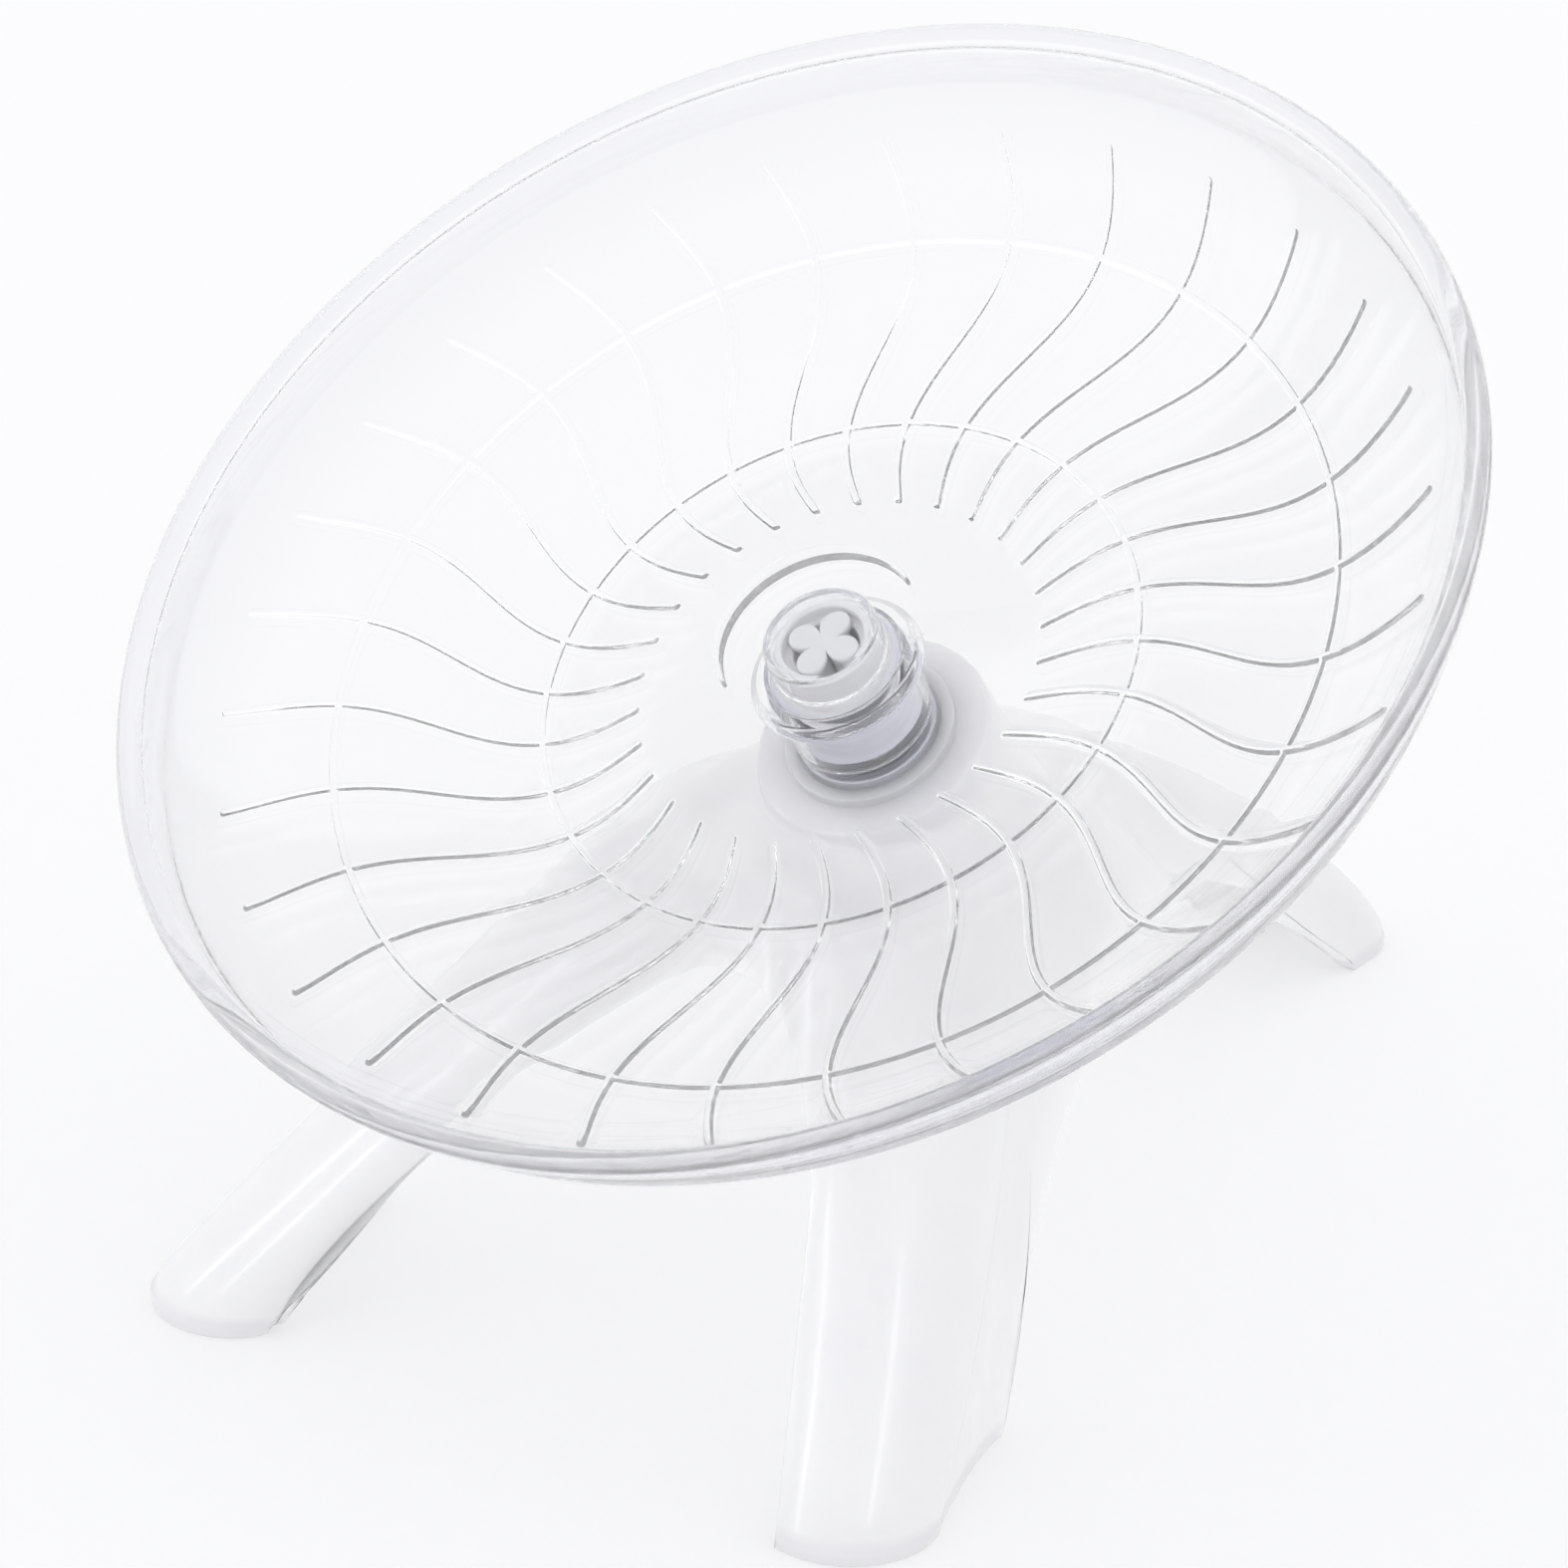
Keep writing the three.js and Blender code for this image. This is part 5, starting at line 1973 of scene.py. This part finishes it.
    def _deck(self, top: Array) -> tuple[Array, Array]:
        """Neck, fillet, deck and shoulder on the outside, and the same from below.

        A smooth curve runs through each column's points: the neck's foot, two points of the hollow deck, its
        edge, the shoulder and the first two levels of the wall.

        Args:
            top: Directions of the columns.

        Returns:
            Outer rows from the neck's edge down to the wall, and inner rows from the wall up to the ceiling.
        """
        before = top - self.sweep
        length = lerp(self.neck_short, self.neck_long, (1 - np.cos(top)) / 2)
        neck_foot = self.axis.circle(top, self.neck_radius + self.neck_flare, self.neck_along - length)
        under_edge = self.axis.circle(top, self.neck_radius, self.neck_along - self.neck_edge)
        radius = self._section(before, self.shoulder_height)
        deck_edge = self._at(top, radius - self.deck_inset, self.shoulder_height + self.shoulder_rise)
        shoulder = self._at(top, radius - self.deck_inset / 3, self.shoulder_height + self.shoulder_rise / 2)
        dip = np.array([0.0, 0.0, self.deck_dip])
        near, far = (lerp(neck_foot, deck_edge, share) for share in self.deck_shares)
        first, second = (self._bell(top, np.float64(level)) for level in (self.first_wall, self.second_wall))
        knots = np.stack([under_edge, neck_foot, near - dip, far, deck_edge, shoulder, first, second])
        curve = self._through(knots, 7)
        neck_turn = np.linspace(0, np.pi / 2, 7)[:, None]
        rim = self.axis.circle(
            top, self.neck_radius - self.neck_edge * (1 - np.sin(neck_turn)),
            self.neck_along - self.neck_edge * (1 - np.cos(neck_turn)),
        )
        upright = lerp(under_edge, neck_foot, np.array(self.neck_shares)[:, None, None])
        outside = np.concatenate([rim, upright, curve[:-1]])
        along = np.roll(curve, -1, axis=1) - np.roll(curve, 1, axis=1)
        down = np.gradient(curve, axis=0)
        normal = np.cross(down, along)
        normal /= lengths(normal)
        outward = np.sign(normal[..., 2].mean())
        inner = curve - outward * self.wall * normal
        kept = inner[self.under_neck:-1][::-1]
        ceiling = self.axis.circle(top, self.ceiling_radius, self.seat_along - self.ledge)
        side = corner_curve(kept[-1], lerp(kept[-1], ceiling, self.ceiling_share), ceiling, 6)[1:]
        return outside, np.concatenate([kept, side])

    def _through(self, knots: Array, steps: int) -> Array:
        """Smooth curve from the second knot to the last but one, by cubic pieces with chord-based tangents.

        Args:
            knots: Points, shape (count, columns, 3).
            steps: Points on each piece.

        Returns:
            Points, shape (rows, columns, 3).
        """
        chord = np.linalg.norm(np.diff(knots, axis=0), axis=-1, keepdims=True) ** 0.5
        slope = np.diff(knots, axis=0) / chord
        tangent = (slope[:-1] * chord[1:] + slope[1:] * chord[:-1]) / (chord[:-1] + chord[1:])
        t = np.linspace(0, 1, steps, endpoint=False)[:, None, None]
        pieces = []
        for i in range(1, len(knots) - 2):
            span = chord[i]
            start, end = tangent[i - 1] * span, tangent[i] * span
            pieces.append(
                (2 * t**3 - 3 * t**2 + 1) * knots[i] + (t**3 - 2 * t**2 + t) * start
                + (3 * t**2 - 2 * t**3) * knots[i + 1] + (t**3 - t**2) * end
            )
        return np.concatenate([*pieces, knots[-2:-1]])

    def _seat(self, top: Array) -> Array:
        """Ceiling round the seat's hole, the ledge, the bore and the collar, as circles round the axis.

        Args:
            top: Directions of the columns.

        Returns:
            Points, shape (rows, columns, 3).
        """
        bottom = self.seat_along - self.ledge
        outline = rounded([
            (self.ceiling_radius, bottom), (self.seat_hole, bottom), (self.seat_hole, self.seat_along),
            (self.seat_radius, self.seat_along), (self.seat_radius, self.collar_along),
            (self.collar_radius, self.collar_along), (self.collar_radius, self.neck_along),
            (self.neck_radius - self.neck_edge, self.neck_along),
        ], self.seat_corner, closed=False)[1:-1]
        return self.axis.circle(top[None, :], outline[:, :1], outline[:, 1:])


# Light, floor and camera


@dataclass(frozen=True)
class Lamp:
    """Soft area lamp, in metres and watts, turned about its aim by an angle."""

    name: str
    place: Place
    size: Pair
    power: float
    turn: float = 0.0


@dataclass
class Studio:
    """Pale floor, soft dome and lamps that draw streaks on the legs.

    Attributes:
        sky_band: Heights on the unit dome between which the low sky turns into the high one.
        aim: Point that the lamps look at, in metres.
    """

    floor_half: float = 6000.0
    floor_colour: Colour = (0.56, 0.56, 0.565)
    floor_glow: float = 0.46
    low_sky: Colour = (1.05, 1.05, 1.05)
    high_sky: Colour = (0.88, 0.88, 0.9)
    sky_band: Pair = (0.12, 0.6)
    aim: Place = (0.0, -0.03, 0.05)
    lamps: tuple[Lamp, ...] = (
        Lamp("front_strip", (-0.30, -0.58, 0.48), (0.025, 0.5), 0.55, np.radians(-25)),
        Lamp("right_strip", (0.42, -0.33, 0.68), (0.02, 0.3), 0.3),
        Lamp("left_strip", (-0.62, -0.42, 0.44), (0.025, 0.3), 0.34),
    )

    def build(self) -> None:
        """Makes floor and sky."""
        self._floor()
        self._sky()

    def hang_lamps(self, lit: Sequence[Piece]) -> None:
        """Hangs the lamps and lets them light only some pieces, which keeps panes of light off the dish.

        Args:
            lit: Pieces that the lamps light.
        """
        group = bpy.data.collections.new("lamp_lit")
        for piece in lit:
            group.objects.link(piece)
        for lamp in self.lamps:
            self._hang(lamp).light_linking.receiver_collection = group

    def _floor(self) -> None:
        """Flat pale floor under the feet."""
        half = self.floor_half * MM
        mesh = bpy.data.meshes.new("pale_floor")
        corners = [(-half, -half, 0), (half, -half, 0), (half, half, 0), (-half, half, 0)]
        mesh.from_pydata(corners, [], [(0, 1, 2, 3)])
        floor = bpy.data.objects.new("pale_floor", mesh)
        bpy.context.scene.collection.objects.link(floor)
        nodes = Nodes("floor_paint")
        nodes.set(
            Roughness=0.9, Specular_IOR_Level=0.1, Base_Color=(*self.floor_colour, 1),
            Emission_Color=(1, 1, 1, 1), Emission_Strength=self.floor_glow,
        )
        mesh.materials.append(nodes.material)

    def _sky(self) -> None:
        """Soft dome: white low down all round, and greyer overhead."""
        world = bpy.data.worlds.new("soft_dome")
        world.use_nodes = True
        bpy.context.scene.world = world
        tree = world.node_tree
        tree.nodes.clear()
        output = tree.nodes.new("ShaderNodeOutputWorld")
        background = tree.nodes.new("ShaderNodeBackground")
        place = tree.nodes.new("ShaderNodeTexCoord")
        split = tree.nodes.new("ShaderNodeSeparateXYZ")
        ramp = tree.nodes.new("ShaderNodeValToRGB")
        ramp.color_ramp.interpolation = "EASE"
        colours = (self.low_sky, self.high_sky)
        for stop, height, colour in zip(ramp.color_ramp.elements, self.sky_band, colours):
            stop.position = height
            stop.color = (*colour, 1)
        tree.links.new(place.outputs["Generated"], split.inputs["Vector"])
        tree.links.new(split.outputs["Z"], ramp.inputs["Fac"])
        tree.links.new(ramp.outputs["Color"], background.inputs["Color"])
        tree.links.new(background.outputs["Background"], output.inputs["Surface"])

    def _hang(self, lamp: Lamp) -> Piece:
        """Makes one lamp, aims it, and turns it about its aim.

        Args:
            lamp: The lamp's data.

        Returns:
            Its object.
        """
        data = bpy.data.lights.new(lamp.name, "AREA")
        data.shape = "RECTANGLE"
        data.size, data.size_y = lamp.size
        data.energy = lamp.power
        made = bpy.data.objects.new(lamp.name, data)
        bpy.context.scene.collection.objects.link(made)
        made.location = lamp.place
        aim = Vector(self.aim) - Vector(lamp.place)
        made.rotation_mode = "QUATERNION"
        made.rotation_quaternion = Quaternion(aim, lamp.turn) @ aim.to_track_quat("-Z", "Y")
        return made


@dataclass(frozen=True)
class Viewpoint:
    """Camera of the photograph, fitted to the rim and the feet.

    Attributes:
        heading: Angle by which it looks to the left of +Y.
        drop: Angle by which it looks down.
        focal_pixels: Focal length in pixels of the photograph.
        frame_pixels: Width of the photograph in pixels.
        clip: Nearest and farthest distance that it sees, in metres.
    """

    place: Place = (316.88, -479.24, 286.19)
    heading: float = np.radians(35.39)
    drop: float = np.radians(22.0)
    roll: float = np.radians(1.5)
    focal_pixels: float = 4654.8
    frame_pixels: float = 1574.0
    sensor: float = 36.0
    clip: Pair = (0.01, 50.0)

    def build(self) -> None:
        """Makes the camera and hands it to the scene."""
        data = bpy.data.cameras.new("front_camera")
        data.sensor_width = self.sensor
        data.lens = self.focal_pixels / self.frame_pixels * self.sensor
        data.clip_start, data.clip_end = self.clip
        camera = bpy.data.objects.new("front_camera", data)
        bpy.context.scene.collection.objects.link(camera)
        level_share = np.cos(self.drop)
        forward = Vector((
            -np.sin(self.heading) * level_share, np.cos(self.heading) * level_share, -np.sin(self.drop)
        ))
        level = forward.cross(Vector((0, 0, 1))).normalized()
        upright = level.cross(forward)
        right = level * np.cos(self.roll) + upright * np.sin(self.roll)
        up = upright * np.cos(self.roll) - level * np.sin(self.roll)
        camera.matrix_world = Matrix.Translation(Vector(self.place) * MM) @ Matrix(
            (right, up, -forward)
        ).transposed().to_4x4()
        bpy.context.scene.camera = camera


def set_exposure() -> None:
    """Plain colour response and enough bounces for clear plastic."""
    scene = bpy.context.scene
    scene.view_settings.view_transform = "Standard"
    scene.cycles.max_bounces = 28
    scene.cycles.glossy_bounces = 24
    scene.cycles.transmission_bounces = 24
    scene.cycles.transparent_max_bounces = 24


def main() -> None:
    """Builds and dresses every sub-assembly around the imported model."""
    logging.basicConfig(level=logging.INFO, format="%(name)s: %(message)s")
    axis = SpinAxis.from_joint("wheel_spin", joint_along=-41.0)
    Viewpoint().build()
    studio = Studio()
    studio.build()
    set_exposure()
    for assembly in (Saucer(axis), Hub(axis), Bearing(axis), Fasteners(axis)):
        assembly.dress(assembly.build())
    stand = Stand(axis)
    studio.hang_lamps([stand.dress(stand.build())])


if __name__ == "__main__":
    main()
